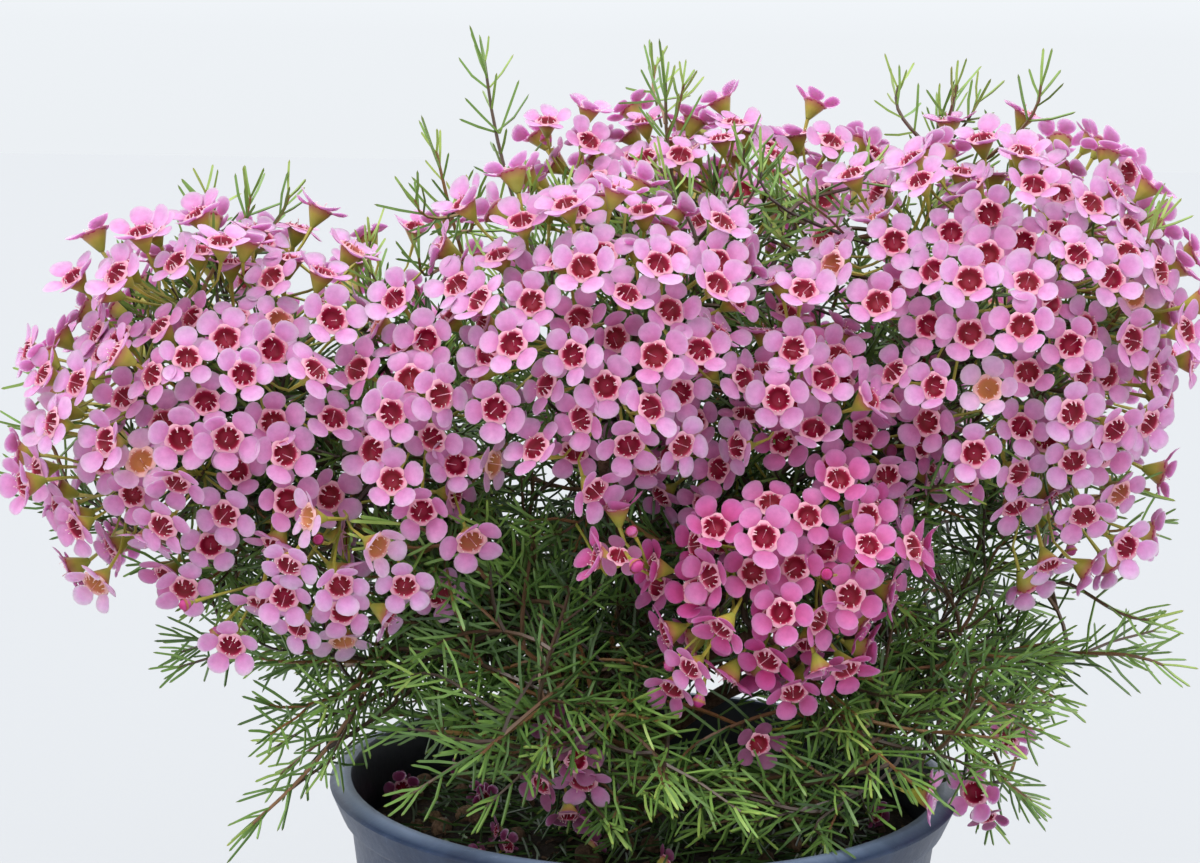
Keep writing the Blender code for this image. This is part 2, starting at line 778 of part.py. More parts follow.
def combine(base, shapes, operation):
    """Joins shapes to an object, or cuts them from it, by one Boolean on a collection, then removed."""
    tools = bpy.data.collections.new("tools")
    bpy.context.scene.collection.children.link(tools)
    for shape in shapes:
        tool = mesh_object("tool", shape)
        bpy.context.scene.collection.objects.unlink(tool)
        tools.objects.link(tool)
    boolean = base.modifiers.new("combine", "BOOLEAN")
    boolean.operation = operation
    boolean.operand_type = "COLLECTION"
    boolean.collection = tools
    boolean.solver = "EXACT"
    seen = base.evaluated_get(bpy.context.evaluated_depsgraph_get())
    joined = bpy.data.meshes.new_from_object(seen)
    base.modifiers.clear()
    keep_largest(joined)
    old = base.data
    base.data = joined
    bpy.data.meshes.remove(old)
    joined.name = base.name
    for tool in list(tools.objects):
        bpy.data.meshes.remove(tool.data)
    bpy.data.collections.remove(tools)


def make_pot():
    pot = mesh_object("pot", pot_shape(), material("pot_plastic", (0.085, 0.115, 0.165), 0.45))
    holes = []
    for i in range(DRAIN_HOLES):
        angle = 2 * math.pi * (i + 0.5) / DRAIN_HOLES
        place = Vector((DRAIN_CIRCLE * math.cos(angle), DRAIN_CIRCLE * math.sin(angle), -POT_FLOOR))
        top = place + Vector((0, 0, 3 * POT_FLOOR))
        holes.append(tube([place, top], [DRAIN_RADIUS, DRAIN_RADIUS], DRAIN_SIDES))
    combine(pot, holes, "DIFFERENCE")


def make_soil(draw):
    soil = mesh_object("soil", soil_shape(), material("potting_soil", (0.030, 0.022, 0.018), 0.95))
    combine(soil, capsule_shapes(draw), "UNION")


def make_wood():
    wood = mesh_object("wood", stem_shape(), material("bark", (0.12, 0.065, 0.04), 0.85))
    combine(wood, [limb_shape(curve) for curve in limb_curves()], "UNION")


def make_spray(spray, look):
    made = mesh_object(spray["name"], twig_shape(spray), look)
    shapes = [needle(root, tip) for root, tip in spray["needles"]]
    shapes += [bloom(*flower) for flower in spray["blooms"]]
    combine(made, shapes, "UNION")


def clear_scene():
    for item in list(bpy.data.objects):
        bpy.data.objects.remove(item)


def main():
    clear_scene()
    sprays, sprigs, _ = plan_bush()
    make_pot()
    make_soil(random.Random(SEED))
    make_wood()
    petals = material("petals", (0.72, 0.30, 0.58), 0.55)
    leaves = material("leaves", (0.10, 0.22, 0.05), 0.5)
    for spray in sprays:
        make_spray(spray, petals)
    for sprig in sprigs:
        make_spray(sprig, leaves)


if __name__ == "__main__":
    main()
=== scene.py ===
"""Dresses the potted waxflower: petals, cups, needles, bark, soil and plastic in place of the plain solids.

The bush is planned by the same named values and the same random draws as the solids, so every bloom and
needle stands where its solid is. Lengths are in metres, or in millimetres where a name ends in _MM.
Named angles are in degrees, unless the comment at them says radians.
"""

import bpy
import json
import math
import random
import numpy as np
from mathutils import Matrix, Vector, noise
from mathutils.bvhtree import BVHTree

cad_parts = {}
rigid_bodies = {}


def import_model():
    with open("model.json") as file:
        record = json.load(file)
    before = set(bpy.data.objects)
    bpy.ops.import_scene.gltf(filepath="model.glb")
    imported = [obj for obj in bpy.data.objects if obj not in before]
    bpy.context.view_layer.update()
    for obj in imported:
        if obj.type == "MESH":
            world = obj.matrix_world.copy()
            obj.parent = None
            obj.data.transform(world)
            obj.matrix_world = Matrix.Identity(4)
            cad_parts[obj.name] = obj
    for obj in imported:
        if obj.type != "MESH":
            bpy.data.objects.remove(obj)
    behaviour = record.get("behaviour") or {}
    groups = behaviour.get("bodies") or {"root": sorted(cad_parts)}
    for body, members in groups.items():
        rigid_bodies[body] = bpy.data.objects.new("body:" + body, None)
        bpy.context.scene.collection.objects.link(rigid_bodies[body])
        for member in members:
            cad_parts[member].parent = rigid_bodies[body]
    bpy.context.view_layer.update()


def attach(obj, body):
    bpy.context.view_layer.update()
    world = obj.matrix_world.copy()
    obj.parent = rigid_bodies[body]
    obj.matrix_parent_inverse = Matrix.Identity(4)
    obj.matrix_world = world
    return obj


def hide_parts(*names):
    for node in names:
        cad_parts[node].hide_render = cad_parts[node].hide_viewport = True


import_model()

# Pot
POT_HEIGHT = 0.190
POT_SIDES = 24
POT_BASE_RADIUS = 0.071
POT_BASE_CHAMFER = 0.0015
POT_NECK_RADIUS = 0.0936
POT_RIM_RADIUS = 0.100
POT_MOUTH_RADIUS = 0.093
POT_LIP_RADIUS = 0.0955
POT_WALL = 0.0017
POT_FLOOR = 0.0025
POT_SKIRT = 0.0098
POT_SKIRT_TAPER = 0.0038
POT_RIM_DROP = 0.0018
DRAIN_HOLES = 6
DRAIN_RADIUS = 0.006
DRAIN_CIRCLE = 0.046

# Soil
SOIL_LEVEL = 0.171
SOIL_SWELL = 0.0035
SOIL_RINGS = 4
SOIL_CROWN = 0.018
CAPSULES = 9
CAPSULE_SIZE = 0.0036
LUMP_CORNERS = ((1, 0, 0), (-1, 0, 0), (0, 1, 0), (0, -1, 0), (0, 0, 0.9), (0, 0, -0.9))
LUMP_FACES = ((0, 2, 4), (2, 1, 4), (1, 3, 4), (3, 0, 4), (2, 0, 5), (1, 2, 5), (3, 1, 5), (0, 3, 5))

# Gap between pieces that touch
SEAT_GAP = 0.0003

# Wood: the stem's root end, its fork, and where each limb ends
ROOT_END = Vector((0.000, 0.004, 0.105))
FORK = Vector((-0.004, 0.003, 0.216))
STEM_RADIUS = 0.0062
STEM_SIDES = 6
LIMB_RADIUS = 0.0034
LIMB_TIP_RADIUS = 0.0025
LIMB_SIDES = 4
LIMB_STAGGER = 0.0036
SEAT_SHARES = (0.15, 0.3, 0.45, 0.6, 0.75, 0.9)
SEAT_TURN = 0.022
LEAST_TWIG = 0.018
SHARPEST_BEND = 58
LIMB_ENDS = {
    "left": (-0.098, -0.032, 0.278),
    "left_back": (-0.078, 0.050, 0.286),
    "centre": (-0.014, -0.046, 0.296),
    "right": (0.086, -0.024, 0.292),
    "right_back": (0.092, 0.056, 0.290),
    "top": (0.016, 0.054, 0.318),
    "low": (0.034, -0.040, 0.246),
    "low_left": (-0.082, -0.026, 0.246),
    "low_right": (0.088, 0.000, 0.242),
    "low_back": (0.004, 0.078, 0.246),
    "low_front": (-0.030, -0.054, 0.240),
}

# Domes of bloom: centre, radii, the way that they look, how far round they go in degrees, and their blooms
DOMES = {
    "left": ((-0.124, -0.026, 0.304), (0.066, 0.060, 0.063), (-0.34, -0.85, 0.40), 90, 95),
    "centre": ((-0.016, -0.040, 0.330), (0.054, 0.054, 0.052), (0.00, -0.85, 0.50), 86, 64),
    "right": ((0.100, -0.020, 0.332), (0.066, 0.058, 0.066), (0.32, -0.82, 0.44), 90, 96),
    "low": ((0.036, -0.042, 0.272), (0.046, 0.050, 0.042), (0.10, -0.96, -0.22), 76, 44),
    "left_middle": ((-0.066, -0.044, 0.308), (0.036, 0.044, 0.046), (0.00, -0.90, 0.42), 74, 30),
    "right_middle": ((0.042, -0.036, 0.314), (0.036, 0.046, 0.050), (0.00, -0.90, 0.42), 74, 28),
    "top": ((0.022, 0.050, 0.355), (0.072, 0.052, 0.050), (0.00, -0.10, 1.00), 80, 57),
    "left_back": ((-0.080, 0.042, 0.308), (0.076, 0.064, 0.060), (-0.44, 0.76, 0.46), 84, 37),
    "right_back": ((0.104, 0.046, 0.316), (0.070, 0.064, 0.062), (0.44, 0.76, 0.46), 84, 36),
}
DOME_LUMP = 0.05
HEAD_SHIFT = 0.0035
STRAY_BLOOMS = {
    "rim": (0.083, -0.056, 0.200),
    "right_a": (0.101, -0.030, 0.193),
    "right_b": (0.112, -0.020, 0.208),
    "front": (-0.019, -0.064, 0.205),
}
DOME_SHELL = 0.92
BLOOM_SPACE = 0.014
LEAST_SPACE = 0.0105
BLOOMS_A_HEAD = 11
HEAD_DEPTH = 0.019
LAYER_STEP = 0.0052
LAYER_PETALS = (5, 3, 3)

# Blooms and needles
BLOOM_RADIUS = 0.0083
NOTCH = 0.60
PETAL_RISE = 0.0016
CALYX_DEPTH = 0.0056
CALYX_NECK = 0.0017
STALK_SPREAD = 0.30
STALK_SINK = 0.0012
CORE_RADIUS = 0.0046
CORE_BACK = 0.009
CORE_FRONT = 0.005
STRAY_PETALS = 5
STRAY_STALK = 0.012
STRAY_STEP = 0.004
STRAY_LEAN = 0.006
STRAY_FOLLOW = 1.3
STRAY_LOOK = (0.0, -1.0, 0.25)
BLOOM_TRIES = 16
TWIG_RADIUS = 0.0015
TWIG_SIDES = 4
TWIG_POINT = 0.004
TWIG_SPANS = 2
SPRIG_SPANS = 3
LIMB_SPANS = 3
NEEDLE_LENGTH = 0.025
NEEDLE_RADIUS = 0.0006
NEEDLES_A_SPRAY = 2
SPRIG_PAIRS = 5
SPRIG_LEVEL = 0.27
SPRIG_LIFT = 5.0
TUFT = 0.018
NEEDLE_START = 0.0015
SPRIG_LEAFY = 0.7
NEEDLE_LEAN = 48
NEEDLE_TIP_LEAN = 22
CLEARANCE = 0.00035
CELL = 0.012

# Leafy sprigs: where each tip is
SPRIG_TIPS = {
    "top_left": (-0.058, 0.060, 0.428),
    "top_far_left": (-0.072, 0.020, 0.398),
    "top_middle": (0.004, 0.030, 0.421),
    "top_right": (0.100, 0.055, 0.412),
    "left": (-0.203, 0.000, 0.278),
    "left_low": (-0.160, 0.005, 0.226),
    "front_left": (-0.126, -0.060, 0.180),
    "front": (-0.052, -0.104, 0.218),
    "front_middle": (0.006, -0.100, 0.206),
    "front_right": (0.084, -0.082, 0.204),
    "right_low": (0.163, -0.018, 0.232),
    "right_lower": (0.132, -0.010, 0.176),
    "back_left": (-0.120, 0.110, 0.236),
    "back": (0.010, 0.140, 0.250),
    "back_right": (0.130, 0.105, 0.228),
}

SEED = 7
# The turn between one point and the next of an even spread, in radians
GOLDEN_ANGLE = math.pi * (3 - math.sqrt(5))


def unit(vector):
    return Vector(vector).normalized()


def across(direction):
    """Two unit vectors square to a direction and to each other."""
    helper = Vector((0, 0, 1)) if abs(direction.z) < 0.9 else Vector((1, 0, 0))
    side = direction.cross(helper).normalized()
    return side, direction.cross(side)


def curve_point(points, t):
    """A point on a cubic curve through its first and last point, pulled by the two between."""
    a, b, c, d = points
    s = 1 - t
    return a * s**3 + b * (3 * s * s * t) + c * (3 * s * t * t) + d * t**3


def curve_points(points, steps):
    return [curve_point(points, i / steps) for i in range(steps + 1)]


def ring(centre, direction, radius, sides, turn=0.0):
    side, other = across(direction)
    angles = [turn + 2 * math.pi * i / sides for i in range(sides)]
    return [centre + (side * math.cos(a) + other * math.sin(a)) * radius for a in angles]


def tube(path, radii, sides, grow=0.0, start=None):
    """A closed tube along a path, as points and faces. A last radius of 0 makes a point."""
    last = len(path) - 1
    pointed = radii[-1] == 0
    points = []
    for i, centre in enumerate(path[:last] if pointed else path):
        direction = (path[min(i + 1, last)] - path[max(i - 1, 0)]).normalized()
        if i == 0 and start:
            direction = start
        loop = ring(centre, direction, radii[i] + grow, sides)
        if points:
            loop = aligned(loop, points[-sides:])
        points += loop
    if not pointed:
        return points, tube_faces(last, sides)
    base = (last - 1) * sides
    faces = tube_faces(last - 1, sides)[:-1]
    faces += [(base + j, base + (j + 1) % sides, last * sides) for j in range(sides)]
    return points + [path[last]], faces


def aligned(loop, before):
    """The loop, started at the point that looks most nearly the way that the loop before it starts."""
    middle = sum(loop, Vector()) / len(loop)
    way = before[0] - sum(before, Vector()) / len(before)
    start = max(range(len(loop)), key=lambda i: (loop[i] - middle).dot(way))
    return loop[start:] + loop[:start]


def tube_faces(spans, sides):
    faces = [tuple(reversed(range(sides)))]
    for i in range(spans):
        for j in range(sides):
            k = (j + 1) % sides
            a = i * sides
            b = a + sides
            faces.append((a + j, a + k, b + k, b + j))
    faces.append(tuple(range(spans * sides, spans * sides + sides)))
    return faces


def needle(root, tip, grow=0.0):
    """A three-sided leaf, as points and faces, from its root in the twig to its sharp tip."""
    points = ring(root, (tip - root).normalized(), NEEDLE_RADIUS + grow, 3) + [tip]
    return points, [(2, 1, 0), (0, 1, 3), (1, 2, 3), (2, 0, 3)]


def bloom(centre, facing, turn, size, root, petals, grow=0.0):
    """A bloom, as points and faces: petals round a flat middle, a funnel calyx, and a stalk to its root."""
    side, other = across(facing)
    radius = BLOOM_RADIUS * size + grow
    count = 2 * petals
    rim = []
    for i in range(count):
        angle = turn + math.pi * i / petals
        reach = radius if i % 2 == 0 else radius * NOTCH
        lift = facing * (grow + (PETAL_RISE if i % 2 == 0 else 0))
        rim.append(centre + (side * math.cos(angle) + other * math.sin(angle)) * reach + lift)
    neck = ring(centre - facing * CALYX_DEPTH, facing, CALYX_NECK + grow, 3, turn)
    faces = [tuple(range(1, count, 2))]
    faces += [((i - 1) % count, i, i + 1) for i in range(0, count, 2)]
    faces += band(count)
    faces += [(count + (i + 1) % 3, count + i, count + 3) for i in range(3)]
    return rim + neck + [root], faces


def band(count):
    """Triangles between a rim, whose points come first, and the three points of the neck after them."""
    faces = []
    for k in range(3):
        last = round((k + 1) * count / 3)
        for i in range(round(k * count / 3), last):
            faces.append(((i + 1) % count, i, count + k))
        faces.append((count + k, count + (k + 1) % 3, last % count))
    return faces


class Thicket:
    """The shapes already placed, kept by place, so that a new shape can be held clear of them."""

    def __init__(self):
        self.cells = {}

    def keys(self, points):
        low = [math.floor(min(p[i] for p in points) / CELL) for i in range(3)]
        high = [math.floor(max(p[i] for p in points) / CELL) for i in range(3)]
        for x in range(low[0], high[0] + 1):
            for y in range(low[1], high[1] + 1):
                for z in range(low[2], high[2] + 1):
                    yield x, y, z

    def add(self, shape, owner):
        entry = (owner, BVHTree.FromPolygons(*shape))
        for key in self.keys(shape[0]):
            self.cells.setdefault(key, []).append(entry)

    def clear(self, shape, *skip):
        """True if the shape crosses nothing but what the skipped owners placed."""
        tree = BVHTree.FromPolygons(*shape)
        seen = set()
        for key in self.keys(shape[0]):
            for owner, other in self.cells.get(key, ()):
                if owner in skip or id(other) in seen:
                    continue
                seen.add(id(other))
                if tree.overlap(other):
                    return False
        return True


def own(name):
    """The owners that stand for a spray's own twig, blooms and needles."""
    return name, name + " bloom", name + " needle"


def drift(draw, size):
    """A small random vector."""
    return Vector((draw.gauss(0, 1), draw.gauss(0, 1), draw.gauss(0, 1))) * size


def dome_points(dome):
    """Places on the part of a dome that bears blooms, with the ways they look, densest at its middle."""
    centre, radii, way, reach, count = dome
    way = unit(way)
    side, other = across(way)
    edge = math.cos(math.radians(reach))
    even = 0.5 / (1 - edge)
    crowded = 0.5 / (1 - edge**2)
    for i in range(count):
        share = (i + 0.5) / count
        height = (math.sqrt(even**2 - 4 * crowded * (share - even - crowded)) - even) / (2 * crowded)
        flat = math.sqrt(1 - height**2)
        angle = i * GOLDEN_ANGLE
        place = way * height + (side * math.cos(angle) + other * math.sin(angle)) * flat
        lump = 1 + DOME_LUMP * math.sin(3 * angle + 7 * height)
        normal = unit([place[k] / radii[k] for k in range(3)])
        yield Vector([centre[k] + place[k] * radii[k] * lump for k in range(3)]), normal


def inside_dome(point, name):
    centre, radii = DOMES[name][:2]
    scaled = [(point[k] - centre[k]) / radii[k] for k in range(3)]
    return Vector(scaled).length < DOME_SHELL


def bloom_spots():
    """Every bloom's place and outward way, dome by dome, spaced apart and set in three layers."""
    spots = []
    for name, dome in DOMES.items():
        for point, normal in dome_points(dome):
            if any(inside_dome(point, other) for other in DOMES if other != name):
                continue
            near = [spot for spot in spots if (spot["surface"] - point).length < 2 * BLOOM_SPACE]
            if any((spot["surface"] - point).length < LEAST_SPACE for spot in near):
                continue
            crowd = [0.0, 0.0, 0.0]
            for spot in near:
                crowd[spot["layer"]] += BLOOM_SPACE / (spot["surface"] - point).length
            layer = crowd.index(min(crowd))
            place = point - normal * layer * LAYER_STEP
            spots.append({"dome": name, "surface": point, "point": place, "normal": normal, "layer": layer})
    return spots


def gather(spots):
    """The spots of one dome, gathered into heads of about equal size."""
    count = max(1, round(len(spots) / BLOOMS_A_HEAD))
    middles = [spots[0]["surface"]]
    while len(middles) < count:
        far = max(spots, key=lambda s: min((s["surface"] - m).length for m in middles))
        middles.append(far["surface"])
    for _ in range(12):
        groups = [[] for _ in middles]
        for spot in spots:
            nearest = min(range(count), key=lambda k: (spot["surface"] - middles[k]).length)
            groups[nearest].append(spot)
        middles = [
            sum((s["surface"] for s in group), Vector()) / len(group) if group else middles[k]
            for k, group in enumerate(groups)
        ]
    return [group for group in groups if group]


def limb_curves():
    """The limbs' curves: each leaves the stem lower down the lower its end is, rises, and then spreads."""
    ends = sorted((Vector(end) for end in LIMB_ENDS.values()), key=lambda end: -end.z)
    curves = []
    for i, end in enumerate(ends):
        foot = FORK - Vector((0, 0, LIMB_STAGGER * i))
        out = end - foot
        rise = Vector((0, 0, out.length))
        curves.append([foot, foot + rise * 0.22 + out * 0.12, foot + out * 0.62 + rise * 0.06, end])
    return curves


def limb_shape(curve):
    radii = [LIMB_RADIUS + (LIMB_TIP_RADIUS - LIMB_RADIUS) * i / LIMB_SPANS for i in range(LIMB_SPANS + 1)]
    return tube(curve_points(curve, LIMB_SPANS), radii, LIMB_SIDES)


def stem_shape():
    path = stem_path()
    return tube(path, [STEM_RADIUS] * 2 + [STEM_RADIUS * 0.85] * (len(path) - 2), STEM_SIDES)


def stem_path():
    base = Vector((ROOT_END.x, ROOT_END.y, SOIL_LEVEL))
    return [ROOT_END, base, (base + FORK) / 2 + Vector((0.0012, 0, 0)), FORK, FORK + Vector((0, 0, 0.004))]


def limb_seats(target):
    """Flat places on the limbs' sides where a twig for this target could sit, best first, with normals."""
    seats = []
    for curve in limb_curves():
        points = limb_shape(curve)[0]
        for first in range(LIMB_SIDES * LIMB_SPANS):
            row = first // LIMB_SIDES * LIMB_SIDES
            second = row + (first + 1) % LIMB_SIDES
            foot = (points[first] + points[second]) / 2
            head = (points[first + LIMB_SIDES] + points[second + LIMB_SIDES]) / 2
            normal = (points[second] - points[first]).cross(head - foot).normalized()
            for share in SEAT_SHARES:
                point = foot + (head - foot) * share
                turn = 1 - normal.dot((target - point).normalized())
                seats.append(((target - point).length + SEAT_TURN * turn, point, normal))
    seats.sort(key=lambda seat: seat[0])
    return [seat[1:] for seat in seats]


def sharpest_bend(way, path, end_way):
    """The largest angle at which a path turns, from the way that it starts to the way that it should end."""
    ways = [way] + [after - before for before, after in zip(path, path[1:])] + [end_way]
    return max(before.angle(after) for before, after in zip(ways, ways[1:]))


def grow_twig(name, end, end_way, spans, thicket, draw):
    """Finds a seat on a limb and a twig from it to its end that cross nothing."""
    for point, way in limb_seats(end):
        seat = point + way * SEAT_GAP
        reach = (end - seat).length
        if reach < LEAST_TWIG:
            continue
        for bend in range(4):
            swerve = drift(draw, 0.004 * bend)
            curve = [seat, seat + way * reach * 0.35 + swerve, end - end_way * reach * 0.35 + swerve, end]
            path = curve_points(curve, spans)
            if sharpest_bend(way, path, end_way) > math.radians(SHARPEST_BEND):
                continue
            lifted = [seat + way * 4 * SEAT_GAP] + path[1:]
            if thicket.clear(tube(lifted, [TWIG_RADIUS] * len(path), TWIG_SIDES, CLEARANCE)):
                return {"name": name, "way": way, "path": path, "curve": curve, "blooms": [], "needles": []}
    raise ValueError(f"no way to {name}")


def twig_shape(spray):
    """A twig: it ends in a point, or swells into the slim core that its head's stalks stand out of."""
    path = list(spray["path"])
    radii = [TWIG_RADIUS] * len(path)
    if "hub" in spray:
        path += [spray["hub"], spray["hub"] + spray["normal"] * CORE_FRONT]
        radii += [CORE_RADIUS]
    else:
        path += [path[-1] + (path[-1] - path[-2]).normalized() * TWIG_POINT]
    return tube(path, radii + [0], TWIG_SIDES, start=spray["way"])


def spray_heads():
    """Each flowering spray's name, the place and way of its head, and the spots of its blooms."""
    spots = bloom_spots()
    for dome in DOMES:
        groups = gather([spot for spot in spots if spot["dome"] == dome])
        for number, group in enumerate(groups, 1):
            middle = sum((spot["surface"] for spot in group), Vector()) / len(group)
            normal = unit(sum((spot["normal"] for spot in group), Vector()))
            shift = normal * HEAD_SHIFT * math.sin(5 * number)
            middle += shift
            for spot in group:
                spot["point"] += shift
            yield f"spray_{dome}_{number}", middle - normal * HEAD_DEPTH, normal, group


def path_length(path):
    return sum((after - before).length for before, after in zip(path, path[1:]))


def path_point(path, back):
    """The point on a path this far back from its end, and the way that the path runs there."""
    for before, after in reversed(list(zip(path, path[1:]))):
        span = (after - before).length
        if back <= span:
            return after + (before - after) * back / span, (after - before) / span
        back -= span
    return path[0], (path[1] - path[0]).normalized()


def stalk_root(spray, centre):
    """Where a bloom's stalk starts inside the core of its head: further back for one that stands aside."""
    offset = centre - spray["hub"]
    height = offset.dot(spray["normal"])
    sideways = offset - spray["normal"] * height
    back = min(CORE_BACK * 0.8, STALK_SPREAD * sideways.length)
    sink = min(STALK_SINK, sideways.length / 2)
    return spray["hub"] - spray["normal"] * back - sideways.normalized() * sink


def add_bloom(spray, flower, thicket):
    thicket.add(bloom(*flower), spray["name"] + " bloom")
    spray["blooms"].append(flower)


def place_bloom(spray, spot, thicket, draw):
    """Tries a bloom at its spot, then turned, moved and shrunk a little, until it crosses nothing."""
    name = spray["name"]
    petals = LAYER_PETALS[spot["layer"]]
    for attempt in range(BLOOM_TRIES):
        loose = attempt / BLOOM_TRIES
        facing = unit(spot["normal"] + spray["normal"] * 0.25 + drift(draw, 0.13 + 0.16 * loose))
        centre = spot["point"] + drift(draw, 0.0004 + 0.0022 * loose)
        size = draw.uniform(0.94, 1.04) - 0.14 * loose
        turn = draw.uniform(0, 2 * math.pi)
        root = stalk_root(spray, centre)
        out = root + (centre - root).normalized() * (CORE_RADIUS + 2 * STALK_SINK)
        if not thicket.clear(bloom(centre, facing, turn, size, out, petals, CLEARANCE), name):
            continue
        if not thicket.clear(bloom(centre, facing, turn, size, root, petals, CLEARANCE), *own(name)):
            continue
        add_bloom(spray, (centre, facing, turn, size, root, petals), thicket)
        return


def place_needle(spray, root, way, length, thicket):
    """Adds a needle if it crosses nothing but the twig that it grows from."""
    name = spray["name"]
    tip = root + way * length
    outer = needle(root + way * 2 * TWIG_RADIUS, tip + way * CLEARANCE, CLEARANCE)
    if not thicket.clear(outer, name):
        return False
    if not thicket.clear(needle(root, tip, CLEARANCE), *own(name)):
        return False
    thicket.add(needle(root, tip), name + " needle")
    spray["needles"].append((root, tip))
    return True


def needle_way(along, azimuth, lean):
    side, other = across(along)
    out = side * math.cos(azimuth) + other * math.sin(azimuth)
    return unit(along * math.cos(lean) + out * math.sin(lean))


def needle_pairs(spray, thicket, draw):
    """Opposite pairs of needles along a leafy twig, each a quarter turn on, to a tuft at the tip."""
    path = spray["path"]
    step = path_length(path) * SPRIG_LEAFY / SPRIG_PAIRS
    for pair in range(SPRIG_PAIRS):
        root, along = path_point(path, NEEDLE_START + pair * step)
        lean = math.radians(NEEDLE_TIP_LEAN + (NEEDLE_LEAN - NEEDLE_TIP_LEAN) * min(1, pair / 2))
        for half in (0, math.pi):
            for _ in range(4):
                azimuth = pair * math.pi / 2 + half + draw.uniform(-0.35, 0.35)
                length = NEEDLE_LENGTH * draw.uniform(0.85, 1.1)
                if place_needle(spray, root, needle_way(along, azimuth, lean), length, thicket):
                    break


def spray_needles(spray, thicket, draw):
    """A few needles round a flowering twig, up among its stalks."""
    path = spray["path"]
    placed = 0
    for _ in range(30):
        root, along = path_point(path, draw.uniform(0.03, 0.4) * path_length(path))
        way = needle_way(along, draw.uniform(0, 2 * math.pi), math.radians(draw.uniform(20, 60)))
        placed += place_needle(spray, root, way, NEEDLE_LENGTH * draw.uniform(0.85, 1.1), thicket)
        if placed == NEEDLES_A_SPRAY:
            break


def stray_roots(sprigs, place):
    """Points on the leafy twigs where a stray bloom's stalk could grow, with their twigs, the best first."""
    found = []
    for sprig in sprigs:
        for step in range(2, 16):
            point, along = path_point(sprig["path"], STRAY_STEP * step)
            gap = abs((place - point).length - STRAY_STALK)
            lean = abs(along.dot((place - point).normalized()))
            found.append((gap + STRAY_LEAN * lean, sprig, point))
    found.sort(key=lambda entry: entry[0])
    return [entry[1:] for entry in found]


def place_stray(sprigs, place, thicket, draw):
    for sprig, root in stray_roots(sprigs, place):
        along = (place - root).normalized()
        facing = unit(along * STRAY_FOLLOW + Vector(STRAY_LOOK) + drift(draw, 0.1))
        turn = draw.uniform(0, 2 * math.pi)
        whole = bloom(place, facing, turn, 1.0, root, STRAY_PETALS, CLEARANCE)
        upper = bloom(place, facing, turn, 1.0, root + along * STRAY_STEP, STRAY_PETALS, CLEARANCE)
        if thicket.clear(whole, sprig["name"]) and thicket.clear(upper):
            sunk = root - along * STALK_SINK / 2
            add_bloom(sprig, (place, facing, turn, 1.0, sunk, STRAY_PETALS), thicket)
            return


def sprig_way(tip):
    """The way that a sprig's tip points: out from the fork, up where it stands high and down where low."""
    return unit(unit(tip - FORK) + Vector((0, 0, (tip.z - SPRIG_LEVEL) * SPRIG_LIFT)))


def plan_bush():
    """Every spray and sprig of the bush, with the curve of its twig, its blooms and its needles."""
    draw = random.Random(SEED)
    thicket = Thicket()
    thicket.add(pot_shape(), "pot")
    thicket.add(soil_shape(), "soil")
    thicket.add(stem_shape(), "wood")
    for curve in limb_curves():
        thicket.add(limb_shape(curve), "wood")
    sprays = []
    waiting = []
    for name, hub, normal, group in spray_heads():
        spray = grow_twig(name, hub - normal * CORE_BACK, normal, TWIG_SPANS, thicket, draw)
        spray["normal"] = normal
        spray["hub"] = hub
        thicket.add(twig_shape(spray), name)
        sprays.append(spray)
        waiting += [(spot["layer"], spray, spot) for spot in group]
    sprigs = []
    for name, tip in SPRIG_TIPS.items():
        way = sprig_way(Vector(tip))
        sprig = grow_twig(f"sprig_{name}", Vector(tip) - way * TUFT, way, SPRIG_SPANS, thicket, draw)
        thicket.add(twig_shape(sprig), sprig["name"])
        sprigs.append(sprig)
    waiting.sort(key=lambda entry: entry[0])
    for _, spray, spot in waiting:
        place_bloom(spray, spot, thicket, draw)
    for sprig in sprigs:
        needle_pairs(sprig, thicket, draw)
    for place in STRAY_BLOOMS.values():
        place_stray(sprigs, Vector(place), thicket, draw)
    for spray in sprays:
        spray_needles(spray, thicket, draw)
    return sprays, sprigs


def turned(profile, sides):
    """A closed solid turned from an outline of (radius, height) points, outside first."""
    points = []
    for radius, height in profile:
        for i in range(sides):
            angle = 2 * math.pi * i / sides
            points.append(Vector((radius * math.cos(angle), radius * math.sin(angle), height)))
    return points, tube_faces(len(profile) - 1, sides)


def inner_radius(height):
    """The radius of the pot's inner wall at a height."""
    share = (height - POT_FLOOR) / (POT_HEIGHT - POT_FLOOR)
    low = POT_BASE_RADIUS - POT_WALL
    return low + (POT_MOUTH_RADIUS - low) * share


def pot_shape():
    top = POT_HEIGHT
    under = POT_HEIGHT - POT_RIM_DROP - POT_SKIRT
    profile = [
        (POT_BASE_RADIUS - POT_BASE_CHAMFER, 0),
        (POT_BASE_RADIUS, POT_BASE_CHAMFER),
        (POT_NECK_RADIUS, under),
        (POT_RIM_RADIUS - POT_SKIRT_TAPER, under),
        (POT_RIM_RADIUS, top - POT_RIM_DROP),
        (POT_LIP_RADIUS, top),
        (POT_MOUTH_RADIUS, top),
        (inner_radius(POT_FLOOR), POT_FLOOR),
    ]
    return turned(profile, POT_SIDES)


def soil_height(radius, angle):
    """The uneven top of the soil: higher round the stem, with soft lumps."""
    lumps = math.sin(3 * angle + radius * 90) + 0.7 * math.sin(7 * angle - radius * 150)
    return SOIL_LEVEL + SOIL_SWELL * (0.6 * lumps * radius / POT_MOUTH_RADIUS + math.cos(radius * 17) - 0.6)


